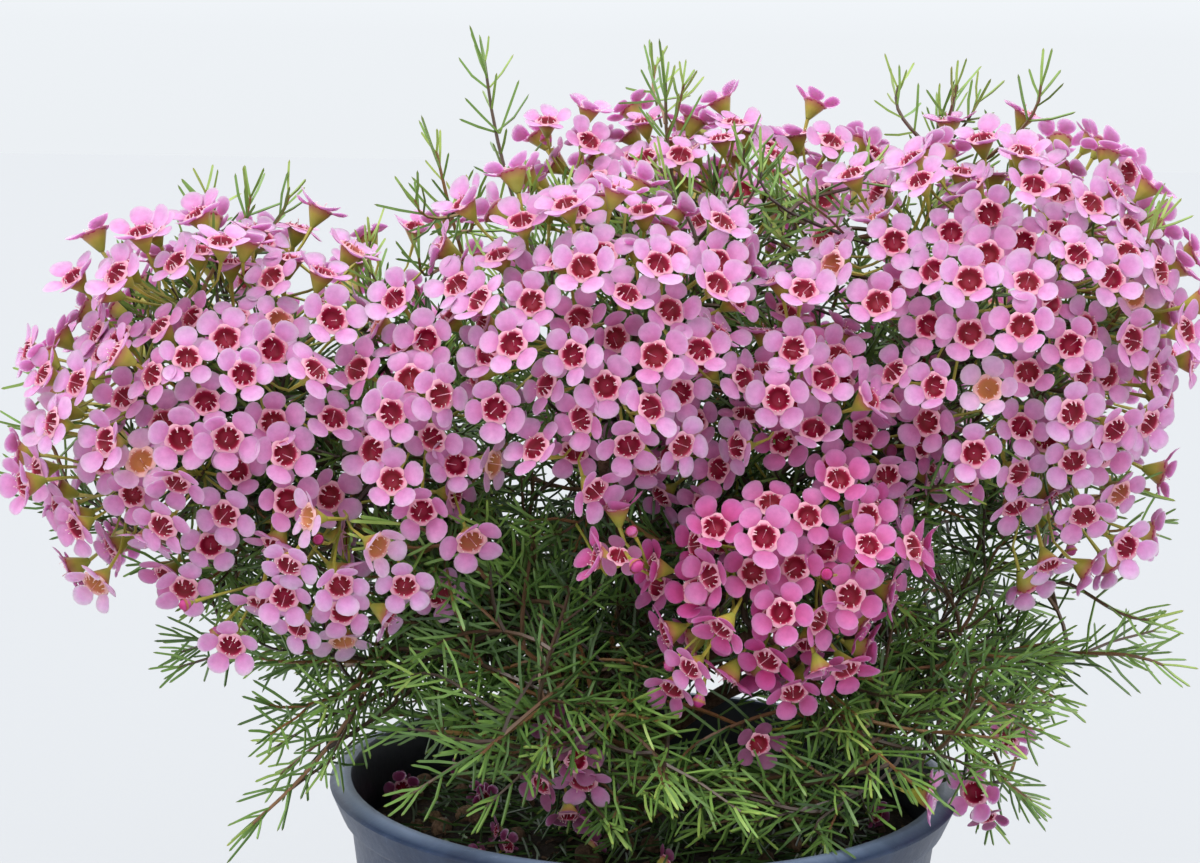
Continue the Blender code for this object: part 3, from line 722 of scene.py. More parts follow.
def soil_shape():
    """The soil: a plug that fills the pot up to its uneven top, with a plain hole for the stem."""
    bottom = POT_FLOOR + SEAT_GAP
    hole = STEM_RADIUS + 2 * SEAT_GAP
    hole_floor = ROOT_END.z - SEAT_GAP
    points = []
    edge = inner_radius(SOIL_LEVEL - 0.004) - 1.5 * SEAT_GAP
    rows = [(inner_radius(bottom) - 1.5 * SEAT_GAP, bottom, True)]
    for i in range(SOIL_RINGS):
        radius = edge + (SOIL_CROWN - edge) * i / (SOIL_RINGS - 1)
        rows.append((radius, None, True))
    rows.append((hole, None, False))
    rows.append((hole, hole_floor, False))
    for radius, height, centred in rows:
        middle = Vector((0, 0, 0)) if centred else Vector((ROOT_END.x, ROOT_END.y, 0))
        for i in range(POT_SIDES):
            angle = 2 * math.pi * i / POT_SIDES
            point = middle + Vector((radius * math.cos(angle), radius * math.sin(angle), 0))
            point.z = height if height is not None else soil_height(radius, angle)
            points.append(point)
    spans = len(rows) - 1
    faces = [tuple(reversed(range(POT_SIDES)))]
    for i in range(spans):
        for j in range(POT_SIDES):
            k = (j + 1) % POT_SIDES
            a = i * POT_SIDES
            b = a + POT_SIDES
            faces.append((a + j, a + k, b + k))
            faces.append((a + j, b + k, b + j))
    faces.append(tuple(range(spans * POT_SIDES, spans * POT_SIDES + POT_SIDES)))
    return points, faces


def capsule_shapes(draw):
    """Old seed capsules that lie on the soil, as small eight-faced lumps half sunk in it."""
    shapes = []
    for i in range(CAPSULES):
        radius = math.sqrt(draw.uniform(0.06, 0.86)) * POT_MOUTH_RADIUS * 0.93
        angle = i * GOLDEN_ANGLE
        place = Vector((radius * math.cos(angle), radius * math.sin(angle), 0))
        place.z = soil_height(radius, angle) + 0.3 * CAPSULE_SIZE
        spin = Matrix.Rotation(draw.uniform(0, math.pi), 3, "Z")
        tilt = Matrix.Rotation(draw.uniform(-0.4, 0.4), 3, "X")
        size = CAPSULE_SIZE * draw.uniform(0.8, 1.15)
        shapes.append(([place + spin @ tilt @ Vector(corner) * size for corner in LUMP_CORNERS], LUMP_FACES))
    return shapes


# Dressing: from here on, the finer meshes that stand for the solids

MM = 0.001
# A full turn in radians, rounded up, for a draw of any direction
FULL_TURN = 6.3
DRESS_SEED = 21
rng = np.random.default_rng(DRESS_SEED)

# Petals, in millimetres in the bloom's own plane
PETAL_MIDDLE_MM = 5.72
PETAL_LENGTH_MM = 2.5
PETAL_BREADTH_MM = 3.02
CLAW_START_MM = 3.1
CLAW_BREADTH_MM = 1.25
PETAL_THICK_MM = 0.2
PETAL_SPAN_MM = 5.8
PETAL_RIM = 14
PETAL_INNER = 0.6
PLANE_MM = 9.5

# Blooms: their petals, their size beside the solids', how far they turn from the solids' way and towards
# the light, and their teeth
BLOOM_PETALS = 5
BLOOM_SCALE = 1.13
FACING_DRIFT = 0.23
FACING_LIFT = 0.26
LIFT_FADE = 1.25
TEETH = 10

# How blooms and their petals vary, as ranges or spreads: angles in radians, and an opening's middle first
OPENING = (0.20, 0.17)
CUPPING_MM = (0.45, 1.3)
PETAL_BROAD = (0.94, 1.07)
PETAL_SIZE = (0.93, 1.05)
PETAL_SPIN = 0.04
PETAL_TILT = 0.16
PETAL_TWIST = 0.2
PETAL_WAVE_MM = (0, 0.3)
PETAL_TONE = 0.05
# The age of a fresh bloom's cup, 0 to 1, and how often each age comes
FRESH_AGES = (0.0, 0.02, 0.04, 0.45)
FRESH_ODDS = (0.4, 0.3, 0.27, 0.03)

# Old blooms: their share, their share low on the left dome, how pale their petals are, the age of their
# cups, and how much wider they open, in radians
OLD_SHARE = 0.012
OLD_SHARE_LEFT = 0.13
OLD_PALE = 0.45
OLD_AGES = (0.75, 1.0)
OLD_OPENING = 0.12

# Cup of a bloom, from its rim to its bottom, then its underside: radius, height, and shade
CUP_MM = (
    (3.8, 0.12, 0.70), (3.42, 0.40, 0.64), (2.96, 0.32, 0.50), (2.6, -0.1, 0.26),
    (1.95, -1.1, 0.10), (1.0, -1.5, 0.04), (0.0, -1.45, 0.0),
)
CUP_BACK_MM = ((2.6, -1.0, 0.1), (0.0, -1.9, 0.1))
CUP_SIDES = 15
CUP_LOBES = 0.16

# Calyx, bud and stalk
CALYX_MM = ((3.45, 0.06, 1.0), (3.2, -0.9, 0.8), (2.3, -2.6, 0.45), (1.4, -4.3, 0.15), (0.75, -5.5, 0.0))
CALYX_SIDES = 10
BUD_MM = ((0.0, 1.9, 0.1), (0.9, 1.6, 0.2), (1.7, 0.6, 0.45), (1.75, -0.5, 0.7), (1.2, -1.5, 0.9))
BUD_SIDES = 9
BUD_CALYX = 0.6
STALK_THICK = 0.00042
STALK_SWELL = (1.25, 1.1, 1, 1, 1.6)

# A tooth's foot as radius, radians and height, an anther's corners, and the style's rings as share and radius
TOOTH_FOOT_MM = ((3.1, -0.15, 0.33), (3.1, 0.15, 0.33), (2.85, 0, 0.1))
ANTHER_MM = 0.2
ANTHER_CORNERS = ((1, 0, -0.4), (-0.5, 0.9, -0.4), (-0.5, -0.9, -0.4), (0, 0, 1))
THREE_SIDES = ((0, 1, 3), (1, 2, 3), (2, 0, 3))
STYLE_FOOT_MM = -1.4
STYLE_TOP_MM = 2.5
STYLE_RINGS_MM = ((0, 0.14), (0.88, 0.11), (0.95, 0.22))

# Needles, and how far apart their pairs stand on each kind of twig
LEAF_RADIUS = 0.0005
LEAF_SPANS = (0.0, 0.5, 0.93)
LEAF_SWELL = (0.8, 1.0, 0.85)
LEAF_LONG = 0.0178
LEAF_SHORT = 0.0108
LEAF_LEAN = 64
LEAF_TIP_LEAN = 28
LEAF_START = 0.0008
PAIR_STEP = 0.0050
HEAD_STEP = 0.0075
SPRIG_STEP = 0.0066
AIRY_STEP = 0.0088
LONE_STEP = 0.0062
SOLID_LEAF_TONES = (0.2, 0.5)

# How needles vary along a twig: lean in degrees, azimuth in radians, the rest as ranges or spreads
LEAN_SPREAD = 8
AZIMUTH_SPREAD = 0.22
LEAF_BEND = (0.05, 0.4)
LEAF_CURL = 0.04
LEAF_THICK = (0.85, 1.1)
LEAF_TONE = 0.10
PAIR_SPREAD = (0.8, 1.25)
# The tuft at a tip: its pairs, the share of a step between its first, their least length and what they
# gain down to the last, and how much paler the first is
TUFT_PAIRS = 4
TUFT_STEP = 0.5
TUFT_LEAST = 0.72
TUFT_GAIN = 0.28
TUFT_TONE = 0.3
# How far from its root a needle starts to be held clear of blooms
LEAF_CLEAR = 0.0012

# Side shoots of the shoots in a zone and of the sprigs
ZONE_SIDE = {
    "where": (0.35, 0.6), "lean": 42, "reach": (0.014, 0.026), "curl": 0.004, "start": 0.15,
    "radii": (0.0005, 0.00045, 0.0004),
}
SPRIG_SIDE = {
    "where": (0.12, 0.7), "lean": 38, "reach": (0.012, 0.026), "curl": 0.005, "start": 0.1,
    "radii": (0.0006, 0.0005, 0.0004),
}

# Tone of the petals, with painted shade: the hanging cluster, which hangs in shade under the domes, is deeper
# than the rest, and shaded blooms are deeper than lit ones
LOW_SHADE_TONE = 0.6
TONE_SPREAD = (-0.1, 0.2)
SHADE_TONE = 0.6

# What each point of the greenery belongs to, for its material
KIND_LEAF = 0.0
KIND_TWIG = 0.5
KIND_CALYX = 1.0

# Bare edge of each square of a piece's map, as a share of the square
MAP_EDGE = 0.04

# Sides of the pot and the soil, and the angle past which an edge of a piece stays sharp
ROUND = 96
PETAL_SHARP = 50
CUP_SHARP = 40
LEAF_SHARP = 60


class Heap:
    """Shapes gathered into one mesh, with values for its material and a square of its map for each."""

    def __init__(self):
        self.points = []
        self.groups = []
        self.values = {"tone": [], "reach": [], "kind": []}
        self.count = self.squares = 0

    def add(self, points, groups, tone, reach, kind=0.0, squares=1):
        """Adds a shape. A group is rows of point numbers, their places on the map, and their squares."""
        for faces, spots, square in groups:
            squares_here = np.broadcast_to(square, len(faces)) + self.squares
            self.groups.append((faces + self.count, spots, squares_here))
        for name, value in (("tone", tone), ("reach", reach), ("kind", kind)):
            self.values[name].append(np.broadcast_to(value, len(points)))
        self.points.append(points)
        self.count += len(points)
        self.squares += squares

    def piece(self, name, look, slot, nodes, sharp):
        """Makes the mesh, in place of the nodes named. Edges sharper than this many degrees stay sharp."""
        if not self.points:
            return None
        mesh = bpy.data.meshes.new(name)
        points = np.concatenate(self.points)
        sizes = np.concatenate([np.full(len(faces), faces.shape[1]) for faces, _, _ in self.groups])
        corners = np.concatenate([faces.ravel() for faces, _, _ in self.groups])
        grid = math.ceil(math.sqrt(self.squares))
        places = []
        for faces, spots, square in self.groups:
            corner = np.stack([square % grid, square // grid], -1)[:, None, :]
            places.append(((corner + MAP_EDGE + (1 - 2 * MAP_EDGE) * spots) / grid).reshape(-1, 2))
        mesh.vertices.add(len(points))
        mesh.vertices.foreach_set("co", points.astype(np.float32).ravel())
        mesh.loops.add(len(corners))
        mesh.loops.foreach_set("vertex_index", corners.astype(np.int32))
        mesh.polygons.add(len(sizes))
        mesh.polygons.foreach_set("loop_start", (np.cumsum(sizes) - sizes).astype(np.int32))
        layer = mesh.uv_layers.new(name="OFBake")
        layer.data.foreach_set("uv", np.concatenate(places).astype(np.float32).ravel())
        for value, rows in self.values.items():
            layer = mesh.attributes.new(value, "FLOAT", "POINT")
            layer.data.foreach_set("value", np.concatenate(rows).astype(np.float32))
        mesh.polygons.foreach_set("use_smooth", np.ones(len(sizes), bool))
        mesh.update(calc_edges=True)
        mesh.validate()
        mesh.set_sharp_from_angle(angle=math.radians(sharp))
        mesh.materials.append(look)
        made = bpy.data.objects.new(name, mesh)
        bpy.context.scene.collection.objects.link(made)
        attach(made, "root")
        if nodes:
            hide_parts(*nodes)
        return made


def flat_map(points, faces, reach):
    """Places on a map for faces seen along Z, for a shape that goes this far from its middle."""
    return 0.5 + 0.5 * points[faces][..., :2] / reach


def petal_form():
    """A flat petal's points, how far out each is, which side it is on, and the faces of both sides."""
    angles = np.radians(np.linspace(-140, 140, PETAL_RIM - 2))
    rim = np.array(
        [(CLAW_START_MM, -CLAW_BREADTH_MM)]
        + [(PETAL_MIDDLE_MM + PETAL_LENGTH_MM * math.cos(a), PETAL_BREADTH_MM * math.sin(a)) for a in angles]
        + [(CLAW_START_MM, CLAW_BREADTH_MM)]
    )
    middle = np.array([PETAL_MIDDLE_MM, 0.0])
    inner = middle + PETAL_INNER * (rim - middle)
    flat = np.concatenate([rim, inner, [middle], inner, [middle]])
    n = PETAL_RIM
    out = np.concatenate([np.ones(n), np.full(n, PETAL_INNER), [0], np.full(n, PETAL_INNER), [0]])
    side = np.concatenate([np.zeros(n), np.ones(n + 1), -np.ones(n + 1)])
    i = np.arange(n)
    j = (i + 1) % n
    low = 2 * n + 1
    last = 3 * n + 1
    front = np.stack([i, j, n + j, n + i], 1), np.stack([n + i, n + j, np.full(n, 2 * n)], 1)
    back = np.stack([j, i, low + i, low + j], 1), np.stack([low + j, low + i, np.full(n, last)], 1)
    return flat, out, side, front, back


PETAL_FLAT, PETAL_OUT, PETAL_SIDE, PETAL_FRONT, PETAL_BACK = petal_form()


def petal(tilt, twist, cup, wave, phase, spin, broad):
    """One petal's points in millimetres in the bloom's frame, turned to its place round the middle."""
    u, v = PETAL_FLAT[:, 0], PETAL_FLAT[:, 1] * broad
    along = (u - CLAW_START_MM).clip(0)
    spread = (along / 3).clip(0, 1)
    angle = np.arctan2(v, u - PETAL_MIDDLE_MM)
    z = PETAL_SIDE * PETAL_THICK_MM * (1 - PETAL_OUT**2)
    z = z + spread * PETAL_OUT**2 * (cup + wave * np.sin(2 * angle + phase)) + v * math.tan(twist) * spread
    x = CLAW_START_MM + (u - CLAW_START_MM) * math.cos(tilt)
    z = z + (u - CLAW_START_MM) * math.sin(tilt)
    c, s = math.cos(spin), math.sin(spin)
    return np.stack([x * c - v * s, x * s + v * c, z], 1)


def lathe(profile, sides):
    """A turned shape: points, shade values and faces, from rows of radius, height and shade."""
    points, shades, rows = [], [], []
    for radius, height, shade in profile:
        start = sum(len(p) for p in points)
        if radius == 0:
            points.append(np.array([[0, 0, height]]))
            rows.append(np.full(sides, start))
        else:
            a = 2 * math.pi * np.arange(sides) / sides
            points.append(np.stack([radius * np.cos(a), radius * np.sin(a), np.full(sides, height)], 1))
            rows.append(start + np.arange(sides))
        shades.append(np.full(len(points[-1]), shade))
    faces = []
    for upper, lower in zip(rows, rows[1:]):
        nexts = np.roll(upper, -1), np.roll(lower, -1)
        if upper[0] == upper[1]:
            faces.append(np.stack([upper, lower, nexts[1]], 1))
        elif lower[0] == lower[1]:
            faces.append(np.stack([upper, lower, nexts[0]], 1))
        else:
            faces.append(np.stack([upper, lower, nexts[1], nexts[0]], 1))
    return np.concatenate(points), np.concatenate(shades), faces


def placed(points, centre, facing, turn, size):
    """Points in millimetres in a bloom's frame, moved to its place in metres."""
    side, other = across(facing)
    c, s = math.cos(turn), math.sin(turn)
    x = np.array(side) * c + np.array(other) * s
    y = np.array(other) * c - np.array(side) * s
    return np.array(centre) + (points @ np.array([x, y, np.array(facing)])) * (size * MM)


def lobed(form):
    """A turned form with five lobes round its rim, which show between the petals."""
    points, shades, faces = form
    far = np.hypot(points[:, 0], points[:, 1])
    share = ((far - CLAW_START_MM) / (CUP_MM[0][0] - CLAW_START_MM)).clip(0, 1)
    swell = 1 - CUP_LOBES * share * np.cos(BLOOM_PETALS * np.arctan2(points[:, 1], points[:, 0]))
    return points * np.stack([swell, swell, np.ones(len(far))], 1), shades, faces


def turned_over(form):
    return form[0], form[1], [rows[:, ::-1] for rows in form[2]]


CUP = turned_over(lobed(lathe(CUP_MM, CUP_SIDES)))
CUP_BACK = lobed(lathe(((CUP_MM[0],) + CUP_BACK_MM), CUP_SIDES))
CALYX = lathe(CALYX_MM, CALYX_SIDES)
BUD = lathe(BUD_MM, BUD_SIDES)


def frames(path):
    """Two directions square to a path at each of its points, that turn with it and don't twist."""
    ways = np.gradient(path, axis=0)
    ways /= np.linalg.norm(ways, axis=1)[:, None]
    helper = np.array([0, 0, 1.0]) if abs(ways[0][2]) < 0.9 else np.array([1.0, 0, 0])
    side = np.cross(ways[0], helper)
    sides = []
    for way in ways:
        side = side - way * side.dot(way)
        side /= np.linalg.norm(side)
        sides.append(side)
    sides = np.array(sides)
    return sides, np.cross(ways, sides)


def add_tube(heap, path, radii, sides, tone, reach, kind, rough=0.0):
    """Adds a tube along a path, closed at both ends."""
    path = np.array(path, float)
    side, other = frames(path)
    n = len(path)
    a = 2 * math.pi * np.arange(sides) / sides
    round_ = side[:, None] * np.cos(a)[None, :, None] + other[:, None] * np.sin(a)[None, :, None]
    radii = np.broadcast_to(radii, n)[:, None] * (1 + rough * rng.normal(size=(n, sides)))
    points = (path[:, None] + round_ * radii[..., None]).reshape(-1, 3)
    i, j = np.meshgrid(np.arange(n - 1), np.arange(sides), indexing="ij")
    i, j = i.ravel(), j.ravel()
    k = (j + 1) % sides
    faces = np.stack([i * sides + j, i * sides + k, (i + 1) * sides + k, (i + 1) * sides + j], 1)
    along = np.stack([i, i, i + 1, i + 1], 1) / (n - 1)
    about = np.stack([j, j + 1, j + 1, j], 1) / sides
    ends = np.stack([np.arange(sides)[::-1], np.arange(sides) + (n - 1) * sides])
    end_map = np.stack([np.full((2, sides), 0.5), np.stack([np.zeros(sides), np.ones(sides)])], -1)
    reach = np.repeat(np.broadcast_to(reach, n), sides)
    heap.add(points, [(faces, np.stack([about, along], -1), 0), (ends, end_map, 0)], tone, reach, kind)


def leaf_faces():
    """A needle's faces of four and of three corners, each with its corners' places on the map."""
    quads, tris, quad_map, tri_map = [], [], [], []
    rows = len(LEAF_SPANS)
    for i in range(rows - 1):
        for j in range(3):
            k = (j + 1) % 3
            quads.append((3 * i + j, 3 * i + k, 3 * i + 3 + k, 3 * i + 3 + j))
            low, high = LEAF_SPANS[i], LEAF_SPANS[i + 1]
            quad_map.append(((j / 3, low), ((j + 1) / 3, low), ((j + 1) / 3, high), (j / 3, high)))
    top = 3 * (rows - 1)
    for j in range(3):
        tris.append((top + j, top + (j + 1) % 3, 3 * rows))
        tri_map.append(((j / 3, LEAF_SPANS[-1]), ((j + 1) / 3, LEAF_SPANS[-1]), ((j + 0.5) / 3, 1)))
    tris.append((2, 1, 0))
    tri_map.append(((0, 0), (0.5, 0), (1, 0)))
    return np.array(quads), np.array(quad_map), np.array(tris), np.array(tri_map)


LEAF_QUADS, LEAF_QUAD_MAP, LEAF_TRIS, LEAF_TRI_MAP = leaf_faces()


def add_leaves(heap, leaves):
    """Adds needles: rows of root, way, length, bend, thickness and tone."""
    if not leaves:
        return
    root, way, bend = (np.array([leaf[k] for leaf in leaves], float) for k in (0, 1, 3))
    length, thick, tone = (np.array([leaf[k] for leaf in leaves], float)[:, None] for k in (2, 4, 5))
    n = len(leaves)
    helper = np.where(np.abs(way[:, 2:]) < 0.9, [[0, 0, 1.0]], [[1.0, 0, 0]])
    side = np.cross(way, helper)
    side /= np.linalg.norm(side, axis=1)[:, None]
    other = np.cross(way, side)
    rings = []
    for t, swell in zip(LEAF_SPANS, LEAF_SWELL):
        middle = root + way * length * t + bend * length * t * t
        for k in range(3):
            a = 2 * math.pi * k / 3
            rings.append(middle + (side * math.cos(a) + other * math.sin(a)) * thick * swell)
    rings.append(root + way * length + bend * length)
    size = len(rings)
    points = np.stack(rings, 1).reshape(-1, 3)
    reach = np.tile(np.append(np.repeat(LEAF_SPANS, 3), 1.0), n)
    base = (np.arange(n) * size)[:, None, None]
    quads = (LEAF_QUADS[None] + base).reshape(-1, 4)
    tris = (LEAF_TRIS[None] + base).reshape(-1, 3)
    quad_squares = np.repeat(np.arange(n), len(LEAF_QUADS))
    tri_squares = np.repeat(np.arange(n), len(LEAF_TRIS))
    groups = [
        (quads, np.tile(LEAF_QUAD_MAP, (n, 1, 1)), quad_squares),
        (tris, np.tile(LEAF_TRI_MAP, (n, 1, 1)), tri_squares),
    ]
    heap.add(points, groups, np.repeat(tone[:, 0], size), reach, KIND_LEAF, squares=n)


def add_twig(heap, path, first, last, sides, tone, rough=0.0):
    """Adds a twig along a path, which thins evenly from its first radius to its last."""
    n = len(path)
    add_tube(heap, path, np.linspace(first, last, n), sides, tone, np.linspace(0, 1, n), KIND_TWIG, rough)


def add_turned(heap, form, centre, facing, turn, size, tone, kind=0.0):
    local, shades, faces = form
    points = placed(local, centre, facing, turn, size)
    groups = [(rows, flat_map(local, rows, PLANE_MM / 2), 0) for rows in faces]
    heap.add(points, groups, tone, shades, kind)


def add_bloom_dress(heaps, flower, tone, old, stalk_base):
    """One bloom: five petals, its cup with its teeth, anthers and style, its calyx and its stalk."""
    petals, hearts, greens = heaps
    centre, facing, turn, size = flower[:4]
    size = size * BLOOM_SCALE
    lift = FACING_LIFT * (1 - LIFT_FADE * max(0.0, facing.z))
    facing = unit(facing + Vector(rng.normal(0, FACING_DRIFT, 3)) + Vector((0, 0, lift)))
    opening = rng.normal(*OPENING) + (OLD_OPENING if old else 0)
    cup = rng.uniform(*CUPPING_MM)
    broad = rng.uniform(*PETAL_BROAD)
    for k in range(BLOOM_PETALS):
        spin = 2 * math.pi * k / BLOOM_PETALS + rng.normal(0, PETAL_SPIN)
        tilt = opening + rng.normal(0, PETAL_TILT)
        twist = rng.normal(0, PETAL_TWIST)
        wave = rng.uniform(*PETAL_WAVE_MM)
        phase = rng.uniform(0, FULL_TURN)
        shape = petal(tilt, twist, cup, wave, phase, spin, broad) * rng.uniform(*PETAL_SIZE)
        points = placed(shape, centre, facing, turn, size)
        reach = ((np.hypot(shape[:, 0], shape[:, 1]) - CLAW_START_MM) / PETAL_SPAN_MM).clip(0, 1)
        groups = [(rows, flat_map(shape, rows, PLANE_MM), 0) for rows in PETAL_FRONT]
        groups += [(rows, flat_map(shape, rows, PLANE_MM), 1) for rows in PETAL_BACK]
        squares = 2 if k == BLOOM_PETALS - 1 else 0
        tone_here = tone + rng.normal(0, PETAL_TONE)
        petals.add(points, groups, tone_here, reach, OLD_PALE if old else 0.0, squares)
    age = rng.uniform(*OLD_AGES) if old else rng.choice(FRESH_AGES, p=FRESH_ODDS)
    place = centre, facing, turn, size
    add_turned(hearts, CUP, *place, age)
    add_turned(hearts, CUP_BACK, *place, age)
    add_teeth(hearts, place, age)
    add_turned(greens, CALYX, *place, rng.uniform(0, 1), KIND_CALYX)
    add_stalk(greens, centre, facing, size, stalk_base)


def ageing(centre):
    """Whether a bloom is an old one: the photo has most of them low on the left dome."""
    left = centre[0] < -0.06 and centre[1] < 0.0 and centre[2] < 0.315
    return rng.uniform() < (OLD_SHARE_LEFT if left else OLD_SHARE)


def add_bud(heaps, centre, facing, size, tone, base):
    petals, _, greens = heaps
    turn = rng.uniform(0, FULL_TURN)
    add_turned(petals, BUD, centre, facing, turn, size, tone)
    neck = centre + facing * 0.0005 * size
    add_turned(greens, CALYX, neck, facing, turn, size * BUD_CALYX, rng.uniform(0, 1), KIND_CALYX)
    add_stalk(greens, centre, facing, size * BUD_CALYX, base)


def add_teeth(hearts, place, age):
    """The ring of pale teeth, each with its anther, and the style with its swollen tip."""
    points, shades, faces = [], [], []
    for k in range(TEETH):
        a = 2 * math.pi * (k + 0.5) / TEETH + rng.normal(0, 0.16)
        base = len(points)
        for r, offset, z in TOOTH_FOOT_MM:
            points.append((r * math.cos(a + offset), r * math.sin(a + offset), z))
        r = rng.uniform(1.9, 3.0)
        tip = np.array((r * math.cos(a), r * math.sin(a), rng.uniform(0.7, 1.5)))
        points.append(tuple(tip))
        points += [tuple(tip + np.array(corner) * ANTHER_MM) for corner in ANTHER_CORNERS]
        faces += [tuple(base + i for i in face) for face in THREE_SIDES]
        faces += [tuple(base + 4 + i for i in face) for face in (*THREE_SIDES, (1, 0, 2))]
        shades += [0.62, 0.62, 0.5, 0.78] + [1.0] * 4
    lean = rng.normal(0, 0.7, 2)
    foot = np.array([0, 0, STYLE_FOOT_MM])
    top = np.array([lean[0], lean[1], STYLE_TOP_MM])
    base = len(points)
    for share, radius in STYLE_RINGS_MM:
        for k in range(3):
            a = 2 * math.pi * k / 3
            out = np.array([math.cos(a), math.sin(a), 0]) * radius
            points.append(tuple(foot + (top - foot) * share + out))
    points.append(tuple(top))
    for i in range(2):
        for j in range(3):
            k = (j + 1) % 3
            low = base + 3 * i
            high = low + 3
            faces += [(low + j, low + k, high + k), (low + j, high + k, high + j)]
    faces += [(base + 6 + j, base + 6 + (j + 1) % 3, base + 9) for j in range(3)]
    shades += [0.6] * 6 + [0.9] * 4
    local = np.array(points)
    rows = np.array(faces)
    hearts.add(placed(local, *place), [(rows, flat_map(local, rows, PLANE_MM / 2), 0)], age, np.array(shades))


def add_stalk(greens, centre, facing, size, base):
    neck = centre - facing * (CALYX_MM[-1][1] * -size * MM)
    reach = (neck - base).length
    way = (neck - base).normalized()
    curve = [base, base + way * reach * 0.4, neck - facing * reach * 0.35, neck]
    radii = [STALK_THICK * swell for swell in STALK_SWELL]
    tone = rng.uniform(0.2, 0.9)
    add_tube(greens, curve_points(curve, 4), radii, 4, tone, (0, 0.1, 0.2, 0.3, 0.4), KIND_CALYX)


def obstacle_tree(flowers):
    """The planned blooms, the pot and the soil, which a new needle or shoot is held clear of."""
    points, faces = [], []
    for shape in [bloom(*flower[:5], BLOOM_PETALS) for flower in flowers] + [pot_shape(), soil_shape()]:
        base = len(points)
        points.extend(shape[0])
        faces.extend([tuple(i + base for i in face) for face in shape[1]])
    return BVHTree.FromPolygons(points, faces)


def test_shape(centre, facing, turn, size):
    """A bloom's middle, and its solid with a short stalk, to test an added bloom against."""
    root = centre - facing * TEST_STALK
    return centre, BVHTree.FromPolygons(*bloom(centre, facing, turn, size, root, BLOOM_PETALS))


def crosses(tree, start, way, length):
    return tree.ray_cast(Vector(start), Vector(way), length)[0] is not None


def unit_row(row):
    return row / np.linalg.norm(row)


def way_out(along, azimuth, lean):
    return np.array(needle_way(Vector(along), azimuth, lean))


def leafy(path, tree, start, fresh, step=PAIR_STEP, scale=1.0):
    """Needles in opposite pairs along a path past a share of its length, with a tuft at its tip."""
    whole = path_length(path)
    leaves = []
    back = LEAF_START
    turn = rng.uniform(0, FULL_TURN)
    pair = 0
    while back < whole * (1 - start):
        root, along = path_point(path, back)
        grown = min(1.0, pair / TUFT_PAIRS)
        lean = LEAF_TIP_LEAN + (LEAF_LEAN - LEAF_TIP_LEAN) * grown + rng.normal(0, LEAN_SPREAD)
        for half in (0, math.pi):
            length = LEAF_SHORT + (LEAF_LONG - LEAF_SHORT) * rng.uniform(0, 1)
            length = length * (TUFT_LEAST + TUFT_GAIN * grown) * scale
            azimuth = turn + pair * math.pi / 2 + half + rng.normal(0, AZIMUTH_SPREAD)
            way = way_out(along, azimuth, math.radians(lean))
            if crosses(tree, root + Vector(way) * LEAF_CLEAR, way, length):
                continue
            bend = (np.array(along) - way * np.dot(along, way)) * rng.uniform(*LEAF_BEND)
            bend = bend + rng.normal(0, LEAF_CURL, 3)
            tone = fresh + TUFT_TONE * (1 - grown) + rng.normal(0, LEAF_TONE)
            leaves.append((root, way, length, bend, LEAF_RADIUS * rng.uniform(*LEAF_THICK), tone))
        back += step * (TUFT_STEP if pair < 2 else rng.uniform(*PAIR_SPREAD))
        pair += 1
    return leaves


def solid_needles(branch, share, bend, tone=None):
    """The needles of a branch's solid, at a share of their length. Without a tone, each gets its own."""
    leaves = []
    for root, tip in branch["needles"]:
        way = np.array((tip - root).normalized())
        curl = rng.normal(0, bend, 3)
        own_tone = rng.uniform(*SOLID_LEAF_TONES) if tone is None else tone
        leaves.append((root, way, (tip - root).length * share, curl, LEAF_RADIUS, own_tone))
    return leaves


def side_shoot(heap, path, tree, fresh, where, lean, reach, curl, start, radii):
    """Adds a side shoot's twig to a path and gives back its needles, or none where it would cross a bloom."""
    root, along = path_point(path, path_length(path) * rng.uniform(*where))
    way = way_out(along, rng.uniform(0, FULL_TURN), math.radians(lean))
    length = rng.uniform(*reach)
    if crosses(tree, root, way, length + 0.004):
        return []
    side = [root, root + Vector(way) * length * 0.5, root + Vector(way) * length + along * curl]
    add_tube(heap, side, radii, 4, rng.uniform(0, 1), (0.6, 0.8, 1), KIND_TWIG)
    return leafy(side, tree, start, fresh + 0.1, scale=0.85)


# Rays that tell how shaded a bloom is
SHADE_RAYS = 20
SHADE_REACH = 0.07


def shade(tree, centre, facing):
    """How much of the light from above and in front a place loses to the blooms round it, 0 to 1."""
    hidden = 0
    for i in range(SHADE_RAYS):
        height = (i + 0.5) / SHADE_RAYS
        angle = i * GOLDEN_ANGLE
        flat = math.sqrt(1 - height**2)
        way = unit(Vector((flat * math.cos(angle), flat * math.sin(angle), height)) + facing * 0.5)
        hidden += crosses(tree, centre + facing * 0.003, way, SHADE_REACH)
    return hidden / SHADE_RAYS
